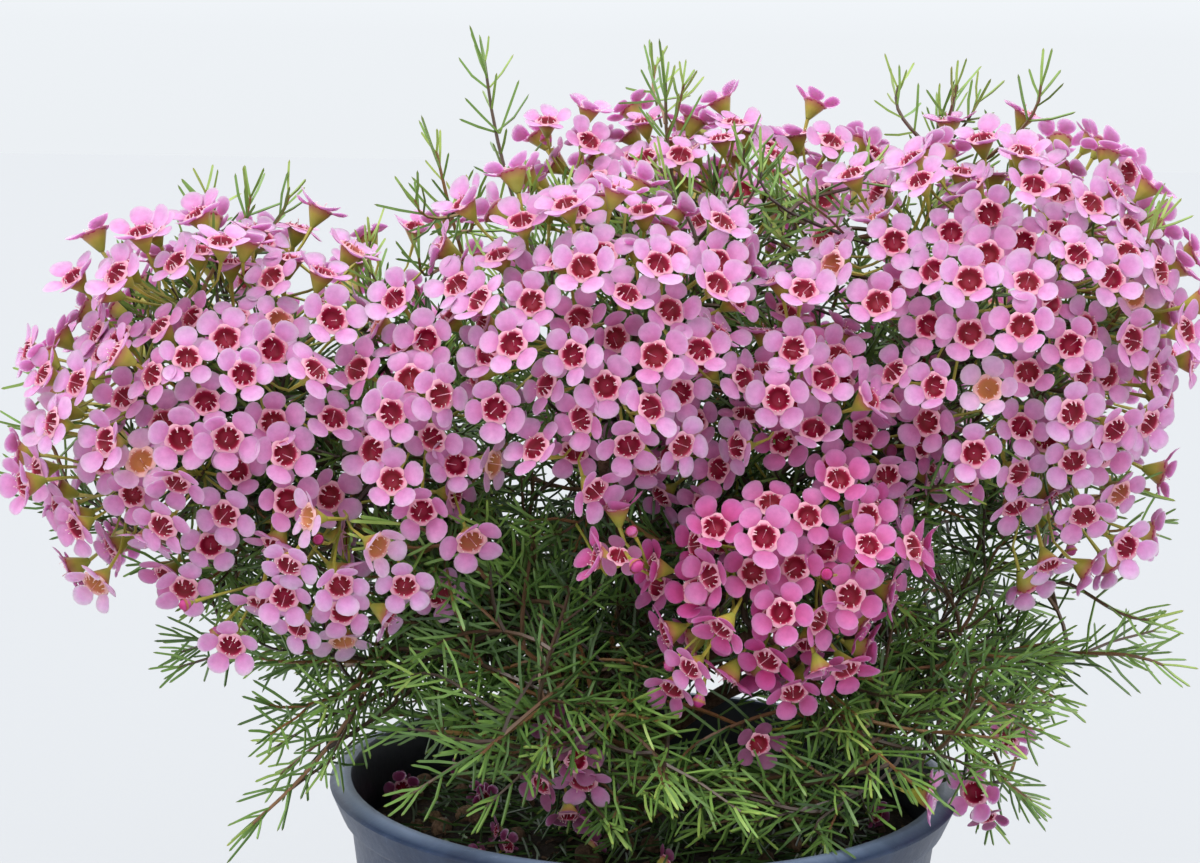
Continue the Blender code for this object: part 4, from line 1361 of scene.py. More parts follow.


# Shoots added among the solids: name, middle, radii, how many, and how fresh, which sets how pale their
# needles are: darker in the inner and low zones and paler on the crown and edges, partly fresh growth and
# partly painted shade and light
ZONES = (
    ("inner", (0.004, 0.004, 0.262), (0.086, 0.046, 0.036), 56, 0.08),
    ("middle", (-0.034, -0.036, 0.252), (0.056, 0.036, 0.036), 72, 0.16),
    ("under_left", (-0.056, -0.050, 0.272), (0.032, 0.028, 0.022), 30, 0.30),
    ("fork_front", (-0.034, -0.062, 0.222), (0.046, 0.020, 0.016), 24, 0.28),
    ("left", (-0.090, -0.036, 0.234), (0.046, 0.040, 0.026), 32, 0.30),
    ("right", (0.074, -0.038, 0.226), (0.056, 0.040, 0.032), 52, 0.26),
    ("far_right", (0.116, -0.006, 0.236), (0.036, 0.042, 0.030), 18, 0.34),
    ("far_left", (-0.130, 0.004, 0.246), (0.036, 0.040, 0.024), 14, 0.34),
    ("low_front", (0.024, -0.060, 0.200), (0.046, 0.022, 0.014), 24, 0.28),
    ("on_soil", (0.000, -0.034, 0.190), (0.060, 0.036, 0.012), 10, 0.12),
    ("back_left", (-0.070, 0.062, 0.230), (0.066, 0.050, 0.040), 46, 0.28),
    ("back_right", (0.074, 0.070, 0.230), (0.066, 0.050, 0.040), 46, 0.28),
    ("back", (0.002, 0.084, 0.236), (0.060, 0.034, 0.046), 40, 0.26),
    ("left_dome", (-0.114, -0.018, 0.290), (0.052, 0.046, 0.046), 52, 0.24),
    ("centre_dome", (-0.016, -0.020, 0.316), (0.050, 0.042, 0.048), 40, 0.24),
    ("right_dome", (0.098, -0.012, 0.310), (0.056, 0.048, 0.058), 60, 0.24),
    ("bridge", (0.046, -0.022, 0.290), (0.046, 0.036, 0.042), 40, 0.20),
    ("back_domes", (0.010, 0.046, 0.316), (0.120, 0.050, 0.040), 64, 0.26),
    ("crown", (0.010, 0.010, 0.360), (0.124, 0.060, 0.036), 50, 0.50),
    ("left_edge", (-0.152, -0.006, 0.322), (0.022, 0.034, 0.040), 18, 0.44),
    ("right_edge", (0.138, -0.002, 0.336), (0.018, 0.034, 0.048), 16, 0.44),
    ("hollow", (-0.072, 0.030, 0.308), (0.044, 0.032, 0.030), 38, 0.32),
)
# Lone shoots that stand out past the blooms in the photo: the place of each tip and the way that it points
LONE_SHOOTS = (
    ((0.081, 0.050, 0.409), (0.2, 0.0, 1.0)), ((0.097, 0.030, 0.409), (0.1, 0.0, 1.0)),
    ((0.104, 0.030, 0.404), (0.4, 0.1, 1.0)), ((0.120, 0.010, 0.409), (0.0, 0.0, 1.0)),
    ((0.144, -0.050, 0.370), (0.6, -0.1, 0.8)), ((0.142, -0.040, 0.370), (0.5, 0.0, 0.8)),
    ((0.152, -0.020, 0.350), (0.75, 0.0, 0.6)), ((0.038, -0.020, 0.363), (-0.1, 0.0, 1.0)),
    ((0.048, -0.020, 0.360), (0.2, 0.0, 1.0)), ((-0.139, 0.000, 0.372), (-0.3, 0.0, 1.0)),
    ((-0.125, 0.000, 0.371), (0.0, 0.1, 1.0)), ((-0.113, 0.000, 0.371), (0.2, 0.0, 1.0)),
    ((-0.199, -0.010, 0.282), (-1.0, 0.0, -0.1)), ((-0.190, -0.010, 0.314), (-0.9, 0.0, 0.3)),
    ((-0.194, -0.006, 0.298), (-1.0, 0.0, 0.1)), ((-0.168, -0.040, 0.302), (-0.9, -0.3, 0.2)),
    ((0.150, -0.030, 0.288), (0.95, -0.1, 0.1)), ((0.152, -0.030, 0.248), (0.9, -0.2, 0.1)),
    ((0.157, -0.030, 0.234), (0.9, -0.1, -0.3)), ((-0.088, 0.000, 0.358), (0.1, 0.0, 1.0)),
    ((-0.072, -0.010, 0.353), (-0.1, 0.0, 1.0)), ((0.001, 0.070, 0.415), (0.0, 0.1, 1.0)),
    ((-0.029, 0.000, 0.375), (0.1, -0.1, 1.0)),
)
# The lone shoots' needles are pale: partly fresh growth, partly painted light where they stand out past the
# blooms
LONE_FRESH = 0.6

# How a shoot finds the wood that it grows from
AXIS_LEVEL = 0.205
SHOOT_REACH = 0.036
SHOOT_LEAST = 0.016
SHOOT_MOST = 0.075
SHOOT_TRIES = 6
ZONE_TRIES = 6
SIDE_SHARE = 0.4


def skeleton(branches):
    """Points along the wood and the twigs, with the way that each runs."""
    points, ways = [], []
    for curve in limb_curves() + [branch["curve"] for branch in branches]:
        path = curve_points(curve, 14)
        for before, after in zip(path[1:], path[2:]):
            points.append(np.array(before))
            ways.append(np.array((after - before).normalized()))
    return np.array(points), np.array(ways)


def gaps(bones, place):
    """How far each point of the wood is from a place."""
    return np.linalg.norm(bones - np.array(place), axis=1)


def path_clear(path, tree):
    """Whether a path crosses no bloom past its first step."""
    for before, after in zip(path[1:], path[2:]):
        if crosses(tree, before, (after - before).normalized(), (after - before).length + 0.001):
            return False
    return True


def shoot_curve(target, tip_way, bones, bone_ways, tree):
    """A curve from the wood out to a target, clear of the blooms, or nothing."""
    away = gaps(bones, target)
    above = (bones[:, 2] - target[2]).clip(0.01)
    score = np.abs(away - SHOOT_REACH) + rng.uniform(0, 0.010, len(away)) + 0.25 * above
    for pick in np.argsort(score)[:SHOOT_TRIES]:
        foot = bones[pick]
        reach = away[pick]
        if reach < SHOOT_LEAST or reach > SHOOT_MOST:
            continue
        start = unit_row(0.5 * bone_ways[pick] + unit_row(target - foot))
        pulls = Vector(foot + start * reach * 0.35), Vector(target - tip_way * reach * 0.35)
        curve = [Vector(foot), *pulls, Vector(target)]
        if path_clear(curve_points(curve, 6), tree):
            return curve
    return None


def grow_zone(zone, bones, bone_ways, tree):
    """One zone's shoots as a heap: each a thin twig with its needles, some with a side shoot.

    Later shoots may branch from earlier ones, so the wood's points and ways grow as well, and are given back.
    """
    name, middle, radii, count, fresh = zone
    heap = Heap()
    leaves = []
    made = tries = 0
    while made < count and tries < ZONE_TRIES * count:
        tries += 1
        spot = rng.normal(size=3)
        spot = spot / np.linalg.norm(spot) * rng.uniform(0, 1) ** (1 / 2.2)
        target = np.array(middle) + spot * np.array(radii)
        out = np.array([target[0], target[1], 0.6 * (target[2] - AXIS_LEVEL)])
        tip_way = unit_row(unit_row(out) + rng.normal(0, 0.5, 3) + np.array([0, 0, 0.12]))
        if name == "crown":
            rise = np.array([0.4 * out[0] / 0.1, 0.4 * out[1] / 0.1, 1.2])
            tip_way = unit_row(rise + rng.normal(0, 0.3, 3))
        curve = shoot_curve(target, tip_way, bones, bone_ways, tree)
        if curve is None:
            continue
        path = curve_points(curve, 8)
        span = path_length(path) / 8
        ways = np.array([path[4] - path[3], path[6] - path[5]]) / span
        bones = np.concatenate([bones, np.array([path[3], path[5]])])
        bone_ways = np.concatenate([bone_ways, ways])
        tone = fresh + rng.normal(0, 0.17)
        add_twig(heap, path, 0.0007, 0.0004, 4, rng.uniform(0, 1) ** 1.5)
        leaves += leafy(path, tree, 0.28, tone)
        if rng.uniform() < SIDE_SHARE:
            leaves += side_shoot(heap, path, tree, tone, **ZONE_SIDE)
        made += 1
    add_leaves(heap, leaves)
    return heap, bones, bone_ways


def lone_shoots(bones, bone_ways, tree):
    """The lone shoots' twigs and needles as one heap."""
    heap = Heap()
    leaves = []
    for place, way in LONE_SHOOTS:
        tip_way = unit_row(np.array(way) + rng.normal(0, 0.1, 3))
        curve = shoot_curve(np.array(place), tip_way, bones, bone_ways, tree)
        if curve is None:
            continue
        path = curve_points(curve, 8)
        add_twig(heap, path, 0.0008, 0.00045, 4, rng.uniform(0.3, 1))
        leaves += leafy(path, tree, 0.3, LONE_FRESH + rng.normal(0, 0.12), step=LONE_STEP)
    add_leaves(heap, leaves)
    return heap


# Materials


WHITE = (255, 255, 255)
BLACK = (0, 0, 0)
# Least and most of the painted highlight along the pot's lip, as greys
LIP_HIGHLIGHT_LOW = (108.0136,) * 3
LIP_HIGHLIGHT_HIGH = (231.1146,) * 3


def srgb(*colour):
    """A colour as the eye sees it, 0 to 255, as the light values that a shader takes."""
    return (*(((v / 255 + 0.055) / 1.055) ** 2.4 if v > 10 else v / 255 / 12.92 for v in colour), 1)


class Look:
    """A node material, built step by step."""

    def __init__(self, name, roughness=0.5, specular=0.5):
        self.material = bpy.data.materials.new(name)
        self.material.use_nodes = True
        self.tree = self.material.node_tree
        self.shader = self.tree.nodes["Principled BSDF"]
        self.shader.inputs["Roughness"].default_value = roughness
        self.shader.inputs["Specular IOR Level"].default_value = specular

    def node(self, kind, **settings):
        made = self.tree.nodes.new("ShaderNode" + kind)
        for name, value in settings.items():
            setattr(made, name, value)
        return made

    def plug(self, source, target):
        self.tree.links.new(source, target)

    def values(self, *names):
        """What the mesh says at each point under these names: tone, reach and kind."""
        return [self.node("Attribute", attribute_name=name).outputs["Fac"] for name in names]

    def noise(self, scale, detail=3.0, rough=0.6, distortion=0.0, stretch=(1.0, 1.0, 1.0)):
        made = self.node("TexNoise")
        mapping = self.node("Mapping")
        mapping.inputs["Scale"].default_value = stretch
        values = {"Scale": scale, "Detail": detail, "Roughness": rough, "Distortion": distortion}
        for name, value in values.items():
            made.inputs[name].default_value = value
        self.plug(self.node("TexCoord").outputs["Object"], mapping.inputs["Vector"])
        self.plug(mapping.outputs["Vector"], made.inputs["Vector"])
        return made.outputs["Fac"]

    def feed(self, node, places, sources):
        """Sets each of a node's inputs at these places to a number or colour, or links it to a socket."""
        for place, source in zip(places, sources):
            if isinstance(source, (int, float, tuple)):
                node.inputs[place].default_value = source
            else:
                self.plug(source, node.inputs[place])

    def maths(self, kind, first, second, clamp=False):
        made = self.node("Math", operation=kind, use_clamp=clamp)
        self.feed(made, (0, 1), (first, second))
        return made.outputs[0]

    def ramp(self, factor, *stops):
        """A colour ramp through its stops: each a place, and a colour's red, green and blue, 0 to 255."""
        made = self.node("ValToRGB")
        elements = made.color_ramp.elements
        while len(elements) < len(stops):
            elements.new(0.5)
        for element, (place, *colour) in zip(elements, stops):
            element.position = place
            element.color = srgb(*colour)
        self.plug(factor, made.inputs["Fac"])
        return made.outputs["Color"]

    def mix(self, factor, first, second, blend="MIX"):
        made = self.node("Mix", data_type="RGBA", blend_type=blend)
        self.feed(made, (0, 6, 7), (factor, first, second))
        return made.outputs[2]

    def colour(self, socket):
        self.plug(socket, self.shader.inputs["Base Color"])

    def bump(self, height, strength, distance):
        made = self.node("Bump")
        made.inputs["Strength"].default_value = strength
        made.inputs["Distance"].default_value = distance
        self.plug(height, made.inputs["Height"])
        self.plug(made.outputs["Normal"], self.shader.inputs["Normal"])


def petal_look(low_shade=False):
    """Petals, deepest near the cup and paler to their rims, the pale rims a painted highlight, and deeper
    still where the tone is high, which is painted shade. For blooms low under the bush they are darker still:
    painted shade. Light comes through them.
    """
    look = Look("fallen" if low_shade else "petals", 0.5, 0.25)
    glow = {"Subsurface Weight": 0.6, "Subsurface Radius": (1.0, 0.5, 0.8), "Subsurface Scale": 0.001}
    for name, value in glow.items():
        look.shader.inputs[name].default_value = value
    reach, tone, kind = look.values("reach", "tone", "kind")
    # The fresh petals grow paler towards their rims: a painted highlight
    inner = (0.0, 232, 192, 208), (0.12, 222, 142, 193), (0.35, 228, 166, 213)
    fresh = look.ramp(reach, *inner, (0.8, 228, 184, 219), (1.0, 233, 204, 229))
    inner = (0.0, 214, 130, 160), (0.12, 176, 38, 104), (0.4, 202, 72, 142)
    deep = look.ramp(reach, *inner, (1.0, 218, 110, 176))
    old = look.ramp(reach, (0.0, 236, 206, 210), (0.5, 230, 198, 220), (1.0, 230, 192, 224))
    # A high tone deepens the colour: painted shade, with a random spread
    colour = look.mix(look.maths("ADD", tone, 0, True), fresh, deep)
    colour = look.mix(kind, colour, old)
    mottle = look.ramp(look.noise(420, 3), (0.3, 226, 214, 226), (0.75, *WHITE))
    colour = look.mix(0.8, colour, mottle, "MULTIPLY")
    # Petals of blooms low under the bush and on the soil are darkened: painted shade
    look.colour(look.mix(0.72, colour, srgb(104, 62, 84)) if low_shade else colour)
    return look.material


def heart_look():
    """Cups with their teeth: crimson with a pale ring, or tan where they are old."""
    look = Look("cups", 0.45, 0.2)
    reach, tone = look.values("reach", "tone")
    bottom = (0.0, 150, 14, 56), (0.1, 118, 4, 34), (0.3, 142, 12, 52), (0.42, 190, 62, 98)
    fresh = look.ramp(reach, *bottom, (0.58, 224, 150, 172), (0.8, 234, 190, 200), (1.0, 250, 236, 230))
    bottom = (0.0, 176, 112, 60), (0.1, 196, 130, 76), (0.3, 204, 128, 92)
    old = look.ramp(reach, *bottom, (0.66, 232, 182, 176), (1.0, 246, 226, 190))
    look.colour(look.mix(tone, fresh, old))
    return look.material


def leaf_look():
    """Needles from dark to fresh green, by a tone that is partly freshness and partly painted light and
    shade, the twigs that bear them, and calyces with their stalks.
    """
    look = Look("leaves", 0.38, 0.45)
    tone, reach, kind = look.values("tone", "reach", "kind")
    darker = (0.0, 56, 80, 42), (0.35, 94, 127, 62)
    green = look.ramp(tone, *darker, (0.75, 134, 170, 84), (1.0, 178, 198, 104))
    tip = look.ramp(reach, (0.0, 236, 226, 150), (0.12, *WHITE), (0.9, *WHITE), (1.0, 240, 200, 150))
    green = look.mix(1.0, green, tip, "MULTIPLY")
    twig = look.ramp(tone, (0.0, 60, 46, 38), (0.5, 98, 72, 54), (0.85, 144, 98, 64), (1.0, 162, 126, 80))
    lower = (0.0, 170, 172, 74), (0.5, 194, 174, 74)
    cup = look.ramp(reach, *lower, (0.85, 190, 126, 86), (1.0, 200, 92, 112))
    other = look.mix(look.maths("GREATER_THAN", kind, 0.75), twig, cup)
    colour = look.mix(look.maths("GREATER_THAN", kind, 0.25), green, other)
    patches = look.ramp(look.noise(160, 2), (0.3, 214, 222, 206), (0.7, *WHITE))
    look.colour(look.mix(1.0, colour, patches, "MULTIPLY"))
    return look.material


def bark_look():
    look = Look("bark", 0.85, 0.25)
    grain = look.noise(260, 6, 0.7, 0.4)
    colour = look.ramp(grain, (0.3, 40, 26, 20), (0.5, 84, 56, 40), (0.7, 122, 92, 72))
    fine = look.ramp(look.noise(1100, 3), (0.3, 50, 34, 26), (0.7, 150, 122, 100))
    look.colour(look.mix(0.35, colour, fine))
    look.bump(grain, 0.9, 0.0008)
    return look.material


def plastic_look():
    """Dark blue-grey plastic with a dusty film in streaks and scuffs, a painted highlight on the lip, and
    darker inside, partly its own colour and partly painted shade, with painted shade under the skirt and the
    pot.
    """
    look = Look("pot_plastic", 0.42, 0.36)
    broad = look.noise(16, 4, 0.6, 0.6)
    scuffs = look.noise(260, 5, 0.8, 0.3)
    streaks = look.noise(60, 5, 0.75, 0.2, stretch=(1.0, 1.0, 0.12))
    # The tone is painted shade, darkest inside, where it is partly the plastic's own colour; the kind marks
    # the lip's painted highlight
    inside, lip_highlight = look.values("tone", "kind")
    colour = look.ramp(broad, (0.3, 24, 37, 60), (0.7, 36, 53, 82))
    film = look.ramp(streaks, (0.45, *BLACK), (0.75, *WHITE))
    colour = look.mix(look.maths("MULTIPLY", film, 0.26), colour, srgb(74, 94, 126))
    # A painted highlight along the lip
    edge = look.maths("MULTIPLY", lip_highlight, look.ramp(broad, (0.25, *LIP_HIGHLIGHT_LOW), (0.7, *LIP_HIGHLIGHT_HIGH)))
    colour = look.mix(edge, colour, srgb(138, 154, 178))
    worn = look.ramp(scuffs, (0.60, *BLACK), (0.72, *WHITE))
    colour = look.mix(look.maths("MULTIPLY", worn, 0.28), colour, srgb(156, 170, 190))
    # Painted shade inside and under the pot, the inside partly the plastic's own darker colour
    look.colour(look.mix(inside, colour, srgb(20, 23, 32)))
    look.plug(look.maths("ADD", look.maths("MULTIPLY", scuffs, 0.35), 0.24), look.shader.inputs["Roughness"])
    look.bump(look.noise(520, 4, 0.7), 0.25, 0.0004)
    return look.material


def soil_look():
    """Dark crumbly earth, and paler bark, capsules and dry twigs on it."""
    look = Look("potting_soil", 0.92, 0.3)
    tone, kind = look.values("tone", "kind")
    crumbs = look.noise(420, 6, 0.75)
    earth = look.ramp(crumbs, (0.3, 22, 18, 15), (0.55, 50, 40, 32), (0.75, 92, 74, 58))
    dark = (0.0, 40, 30, 24), (0.3, 92, 72, 56), (0.6, 140, 112, 92)
    litter = look.ramp(tone, *dark, (0.8, 176, 148, 112), (1.0, 200, 176, 140))
    spots = look.ramp(look.noise(900, 3), (0.35, 150, 140, 132), (0.65, 255, 250, 240))
    litter = look.mix(0.8, litter, spots, "MULTIPLY")
    look.colour(look.mix(kind, earth, litter))
    look.bump(crumbs, 0.8, 0.001)
    return look.material


# Building


def make_pieces(heaps, looks, name, nodes=(), ending="green"):
    """Makes pieces of the petals, cups and greenery gathered in three heaps."""
    rows = ("petals", "petals", PETAL_SHARP), ("cups", "petals", CUP_SHARP), (ending, "leaves", LEAF_SHARP)
    for heap, look, (part, slot, sharp) in zip(heaps, looks, rows):
        heap.piece(f"{name}_{part}", look, slot, nodes, sharp)


def build_sprays(sprays, looks, tree):
    for spray in sprays:
        name = spray["name"]
        heaps = Heap(), Heap(), Heap()
        # Painted shade: a deeper tone for the hanging cluster and for blooms that others shade
        low = LOW_SHADE_TONE if "low" in name else 0.0
        axis = spray["normal"]
        for flower in spray["blooms"]:
            base = spray["hub"] + axis * (flower[4] - spray["hub"]).dot(axis)
            tone = low + rng.uniform(*TONE_SPREAD) + SHADE_TONE * shade(tree, flower[0], flower[1])
            add_bloom_dress(heaps, flower, tone, ageing(flower[0]), base)
        path = curve_points(spray["curve"], 8) + [spray["hub"], spray["hub"] + axis * CORE_FRONT * 0.4]
        radii = list(np.linspace(TWIG_RADIUS * 0.8, 0.0008, 9)) + [0.0007, 0.0005]
        reach = np.linspace(0, 1, len(path))
        add_tube(heaps[2], path, radii, 6, rng.uniform(0, 0.5), reach, KIND_TWIG, 0.05)
        leaves = solid_needles(spray, 0.8, 0.05)
        leaves += leafy(path[:9], tree, 0.35, rng.uniform(0.15, 0.45), step=HEAD_STEP)
        add_leaves(heaps[2], leaves)
        make_pieces(heaps, looks, name, (name,))


# Blooms added where the photo's domes have more than the solids: middle, radii, way, blooms
EXTRA = {
    "left_under": ((-0.090, -0.046, 0.280), (0.038, 0.040, 0.036), (-0.12, -0.95, -0.20), 26),
    "left_foot": ((-0.108, -0.050, 0.264), (0.028, 0.030, 0.024), (-0.10, -0.90, -0.35), 12),
    "bridge": ((0.040, -0.022, 0.300), (0.050, 0.034, 0.040), (0.05, -0.97, 0.10), 40),
    "low_foot": ((0.016, -0.062, 0.252), (0.020, 0.026, 0.020), (0.00, -0.90, -0.40), 7),
    "low_right": ((0.056, -0.066, 0.270), (0.018, 0.024, 0.020), (0.20, -0.95, -0.10), 9),
    "low_left": ((-0.010, -0.066, 0.276), (0.010, 0.022, 0.012), (-0.10, -0.95, 0.00), 3),
    "right_under": ((0.122, -0.020, 0.286), (0.036, 0.036, 0.028), (0.20, -0.90, -0.20), 16),
    "top_left": ((-0.022, 0.052, 0.376), (0.026, 0.026, 0.022), (-0.20, -0.50, 0.85), 8),
    "top_right": ((0.114, 0.026, 0.378), (0.034, 0.028, 0.022), (0.10, -0.40, 0.90), 7),
    "back_middle": ((0.010, 0.050, 0.322), (0.064, 0.048, 0.056), (0.00, 0.95, 0.30), 42),
    "left_side": ((-0.116, 0.006, 0.300), (0.068, 0.052, 0.062), (-0.80, 0.50, 0.30), 40),
    "right_side": ((0.100, 0.020, 0.316), (0.062, 0.052, 0.062), (0.75, 0.60, 0.25), 40),
}
# Domes with a second layer of blooms inside, its size beside the dome's, and its share of the dome's count
BACKED = ("left", "centre", "right", "low", "left_middle", "right_middle")
BACKING = 0.80
BACKING_SHARE = 0.6

# Single blooms low in the bush: place, and the way that each looks
STRAYS = (
    ((-0.028, -0.064, 0.222), (-0.3, -0.9, 0.1)), ((-0.021, -0.066, 0.212), (0.4, -0.9, -0.1)),
    ((-0.031, -0.064, 0.204), (-0.5, -0.8, -0.3)), ((-0.023, -0.062, 0.194), (0.1, -0.7, -0.7)),
    ((-0.038, -0.055, 0.222), (-0.2, -0.8, 0.4)), ((0.047, -0.082, 0.244), (0.2, -0.5, -0.9)),
    ((-0.010, -0.085, 0.276), (-0.2, -0.9, 0.2)), ((0.107, -0.020, 0.182), (0.1, -0.2, -1.0)),
    ((0.032, -0.060, 0.216), (0.3, -0.6, -0.5)),
)

# How an added bloom finds its place, how its head's buds do, and the deeper tone of the low and bridge
# blooms, painted shade where they sit in shade
EXTRA_REACH = 84
EXTRA_SPACE = 0.0125
EXTRA_TRIES = 8
EXTRA_TEST = 0.85
EXTRA_SHADE_TONES = {"low": 0.55, "bridge": 0.25}
TEST_STALK = 0.007
TEST_REACH = 0.024
BUDS_A_HEAD = 2
BUD_SPACE = 0.0085
BUD_SPREAD = 0.010
BUD_BACK = 0.002
BUD_LEAN = 40
BUD_TEST = 0.3
HEAD_TWIG = 0.03
STRAY_REACH = 0.022


def extra_spots(centres):
    """Places for added blooms: in the patches above, and on a shell inside each dome, where there is room."""
    patches = {name: (*form, EXTRA_REACH, count) for name, (*form, count) in EXTRA.items()}
    for name in BACKED:
        middle, radii, way, reach, count = DOMES[name]
        inner = tuple(r * BACKING for r in radii)
        patches[name + "_backing"] = middle, inner, way, reach, round(count * BACKING_SHARE)
    for name, patch in patches.items():
        spots = []
        for point, normal in dome_points(patch):
            if all((point - other).length > EXTRA_SPACE for other in centres):
                spots.append({"surface": point, "point": point, "normal": normal})
                centres.append(point)
        if spots:
            yield name, spots


def extra_bloom(spot, normal, hub, known):
    """A bloom at its spot, turned and moved until it crosses nothing, with its stalk's foot, or None."""
    for attempt in range(EXTRA_TRIES):
        loose = attempt / EXTRA_TRIES
        facing = unit(spot["normal"] + normal * 0.2 + Vector(rng.normal(0, 0.15 + 0.2 * loose, 3)))
        centre = spot["point"] + Vector(rng.normal(0, 0.0006 + 0.003 * loose, 3))
        turn = rng.uniform(0, FULL_TURN)
        size = rng.uniform(0.9, 1.0)
        shape = test_shape(centre, facing, turn, size * EXTRA_TEST)
        near = [other for place, other in known if (place - centre).length < TEST_REACH]
        if any(shape[1].overlap(other) for other in near):
            continue
        known.append(shape)
        base = hub - normal * min(CORE_BACK, STALK_SPREAD * (centre - hub).length)
        return (centre, facing, turn, size), base
    return None


def add_head_buds(heaps, hub, normal, known):
    """A few buds in a head, where there is room."""
    for _ in range(BUDS_A_HEAD):
        spread = Vector(rng.normal(0, BUD_SPREAD, 3))
        centre = hub + normal * (HEAD_DEPTH - BUD_BACK) + spread - normal * spread.dot(normal)
        facing = unit(normal + spread * BUD_LEAN)
        if all((near - centre).length > BUD_SPACE for near, _ in known):
            shape = bloom(centre, facing, 0, BUD_TEST, hub, BLOOM_PETALS)
            known.append((centre, BVHTree.FromPolygons(*shape)))
            add_bud(heaps, centre, facing, rng.uniform(0.8, 1.15), rng.uniform(0.6, 1.0), hub)


def head_path(hub, normal, bones, bone_ways):
    """The path of a head's twig, from the wood that stands about a twig's length from it."""
    pick = int(np.argmin(np.abs(gaps(bones, hub) - HEAD_TWIG)))
    foot = Vector(bones[pick])
    way = Vector(unit_row(bone_ways[pick] + unit_row(np.array(hub) - bones[pick])))
    reach = (hub - foot).length
    curve = [foot, foot + way * reach * 0.35, hub - normal * reach * 0.35, hub + normal * 0.001]
    return curve_points(curve, 7)


def build_extras(flowers, looks, tree, bones, bone_ways):
    """The added blooms, in heads with buds, each on a twig of its own."""
    known = [test_shape(*flower[:4]) for flower in flowers]
    for name, spots in extra_spots([Vector(flower[0]) for flower in flowers]):
        heaps = Heap(), Heap(), Heap()
        low = next((tone for word, tone in EXTRA_SHADE_TONES.items() if word in name), 0.0)
        for group in gather(spots):
            normal = unit(sum((spot["normal"] for spot in group), Vector()))
            hub = sum((spot["surface"] for spot in group), Vector()) / len(group) - normal * HEAD_DEPTH
            made = 0
            for spot in group:
                found = extra_bloom(spot, normal, hub, known)
                if found:
                    flower, base = found
                    # Painted shade: a deeper tone for the low and bridge blooms and for blooms that others
                    # shade
                    tone = low + rng.uniform(*TONE_SPREAD)
                    tone += SHADE_TONE * shade(tree, flower[0], flower[1])
                    add_bloom_dress(heaps, flower, tone, ageing(flower[0]), base)
                    made += 1
            if not made:
                continue
            add_head_buds(heaps, hub, normal, known)
            path = head_path(hub, normal, bones, bone_ways)
            add_twig(heaps[2], path, 0.0012, 0.0006, 5, rng.uniform(0, 0.8))
            add_leaves(heaps[2], leafy(path, tree, 0.3, rng.uniform(0.15, 0.4), step=HEAD_STEP))
        make_pieces(heaps, looks, f"extra_{name}")


def build_sprigs(sprigs, looks, tree):
    """The leafy sprigs. Those at the top are fresher and paler, partly painted light from above, and more
    open, with fewer side shoots; the lower ones are darker, partly painted shade.
    """
    for sprig in sprigs:
        name = sprig["name"]
        heaps = Heap(), Heap(), Heap()
        for flower in sprig["blooms"]:
            add_bloom_dress(heaps, flower, rng.uniform(0.2, 0.5), False, Vector(flower[4]))
        path = curve_points(sprig["curve"], 12)
        path.append(path[-1] + (path[-1] - path[-2]).normalized() * 0.005)
        add_twig(heaps[2], path, TWIG_RADIUS * 0.6, 0.0005, 5, rng.uniform(0.3, 1), 0.04)
        airy = "top" in name
        # Paler needles at the top and darker ones lower down: partly freshness, partly painted light and
        # shade
        fresh = rng.uniform(0.55, 0.78) if airy else rng.uniform(0.26, 0.46)
        leaves = solid_needles(sprig, 0.75, 0.06, fresh)
        leaves += leafy(path, tree, 0.22, fresh, step=AIRY_STEP if airy else SPRIG_STEP)
        for _ in range(1 if airy else 3):
            leaves += side_shoot(heaps[2], path, tree, fresh, **SPRIG_SIDE)
        add_leaves(heaps[2], leaves)
        make_pieces(heaps, looks, name, (name,), "leaves")


def build_strays(looks, bones):
    """Blooms low in the bush, darkened with painted shade: one hanging cluster, and single ones on thin
    stalks of their own.
    """
    heaps = Heap(), Heap(), Heap()
    for place, way in STRAYS:
        centre = Vector(place)
        facing = unit(Vector(way) + Vector(rng.normal(0, 0.15, 3)))
        over = (centre.z - bones[:, 2]).clip(0)
        foot = Vector(bones[int(np.argmin(np.abs(gaps(bones, centre) - STRAY_REACH) + 0.5 * over))])
        flower = (centre, facing, rng.uniform(0, FULL_TURN), rng.uniform(0.72, 0.86))
        # A deep tone and darker petals: painted shade
        add_bloom_dress(heaps, flower, rng.uniform(0.5, 1.0), False, foot)
    make_pieces(heaps, looks, "strays")


# Bark: steps and sides of the stem and of a limb, a limb's radius beside its solid's, the stem's sway, how
# uneven it is, and the angle past which its edges stay sharp
STEM_STEPS = 8
BARK_STEM_SIDES = 14
LIMB_STEPS = 16
BARK_LIMB_SIDES = 9
BARK_LIMB_SHARE = 0.88
STEM_SWAY = 0.0009
BARK_ROUGH = 0.05
BARK_SHARP = 70
# The bark's material reads none of the mesh's values
UNREAD = 0.5, 0.5, 0.5


def build_wood(look):
    heap = Heap()
    base = stem_path()[1]
    stem = [ROOT_END] + [base + (FORK - base) * i / STEM_STEPS for i in range(STEM_STEPS + 1)]
    for i in range(2, STEM_STEPS + 1):
        stem[i] = stem[i] + Vector((STEM_SWAY * math.sin(9 * i), STEM_SWAY * math.cos(7 * i), 0))
    stem.append(FORK + Vector((0, 0, 0.003)))
    radii = [STEM_RADIUS * 0.9] * 2
    radii += list(np.linspace(STEM_RADIUS, STEM_RADIUS * 0.8, STEM_STEPS))
    radii.append(STEM_RADIUS * 0.6)
    add_tube(heap, stem, radii, BARK_STEM_SIDES, *UNREAD, BARK_ROUGH)
    for curve in limb_curves():
        radii = np.linspace(LIMB_RADIUS, LIMB_TIP_RADIUS, LIMB_STEPS + 1) * BARK_LIMB_SHARE
        add_tube(heap, curve_points(curve, LIMB_STEPS), radii, BARK_LIMB_SIDES, *UNREAD, BARK_ROUGH)
    heap.piece("wood_bark", look, "bark", ("wood",), BARK_SHARP)


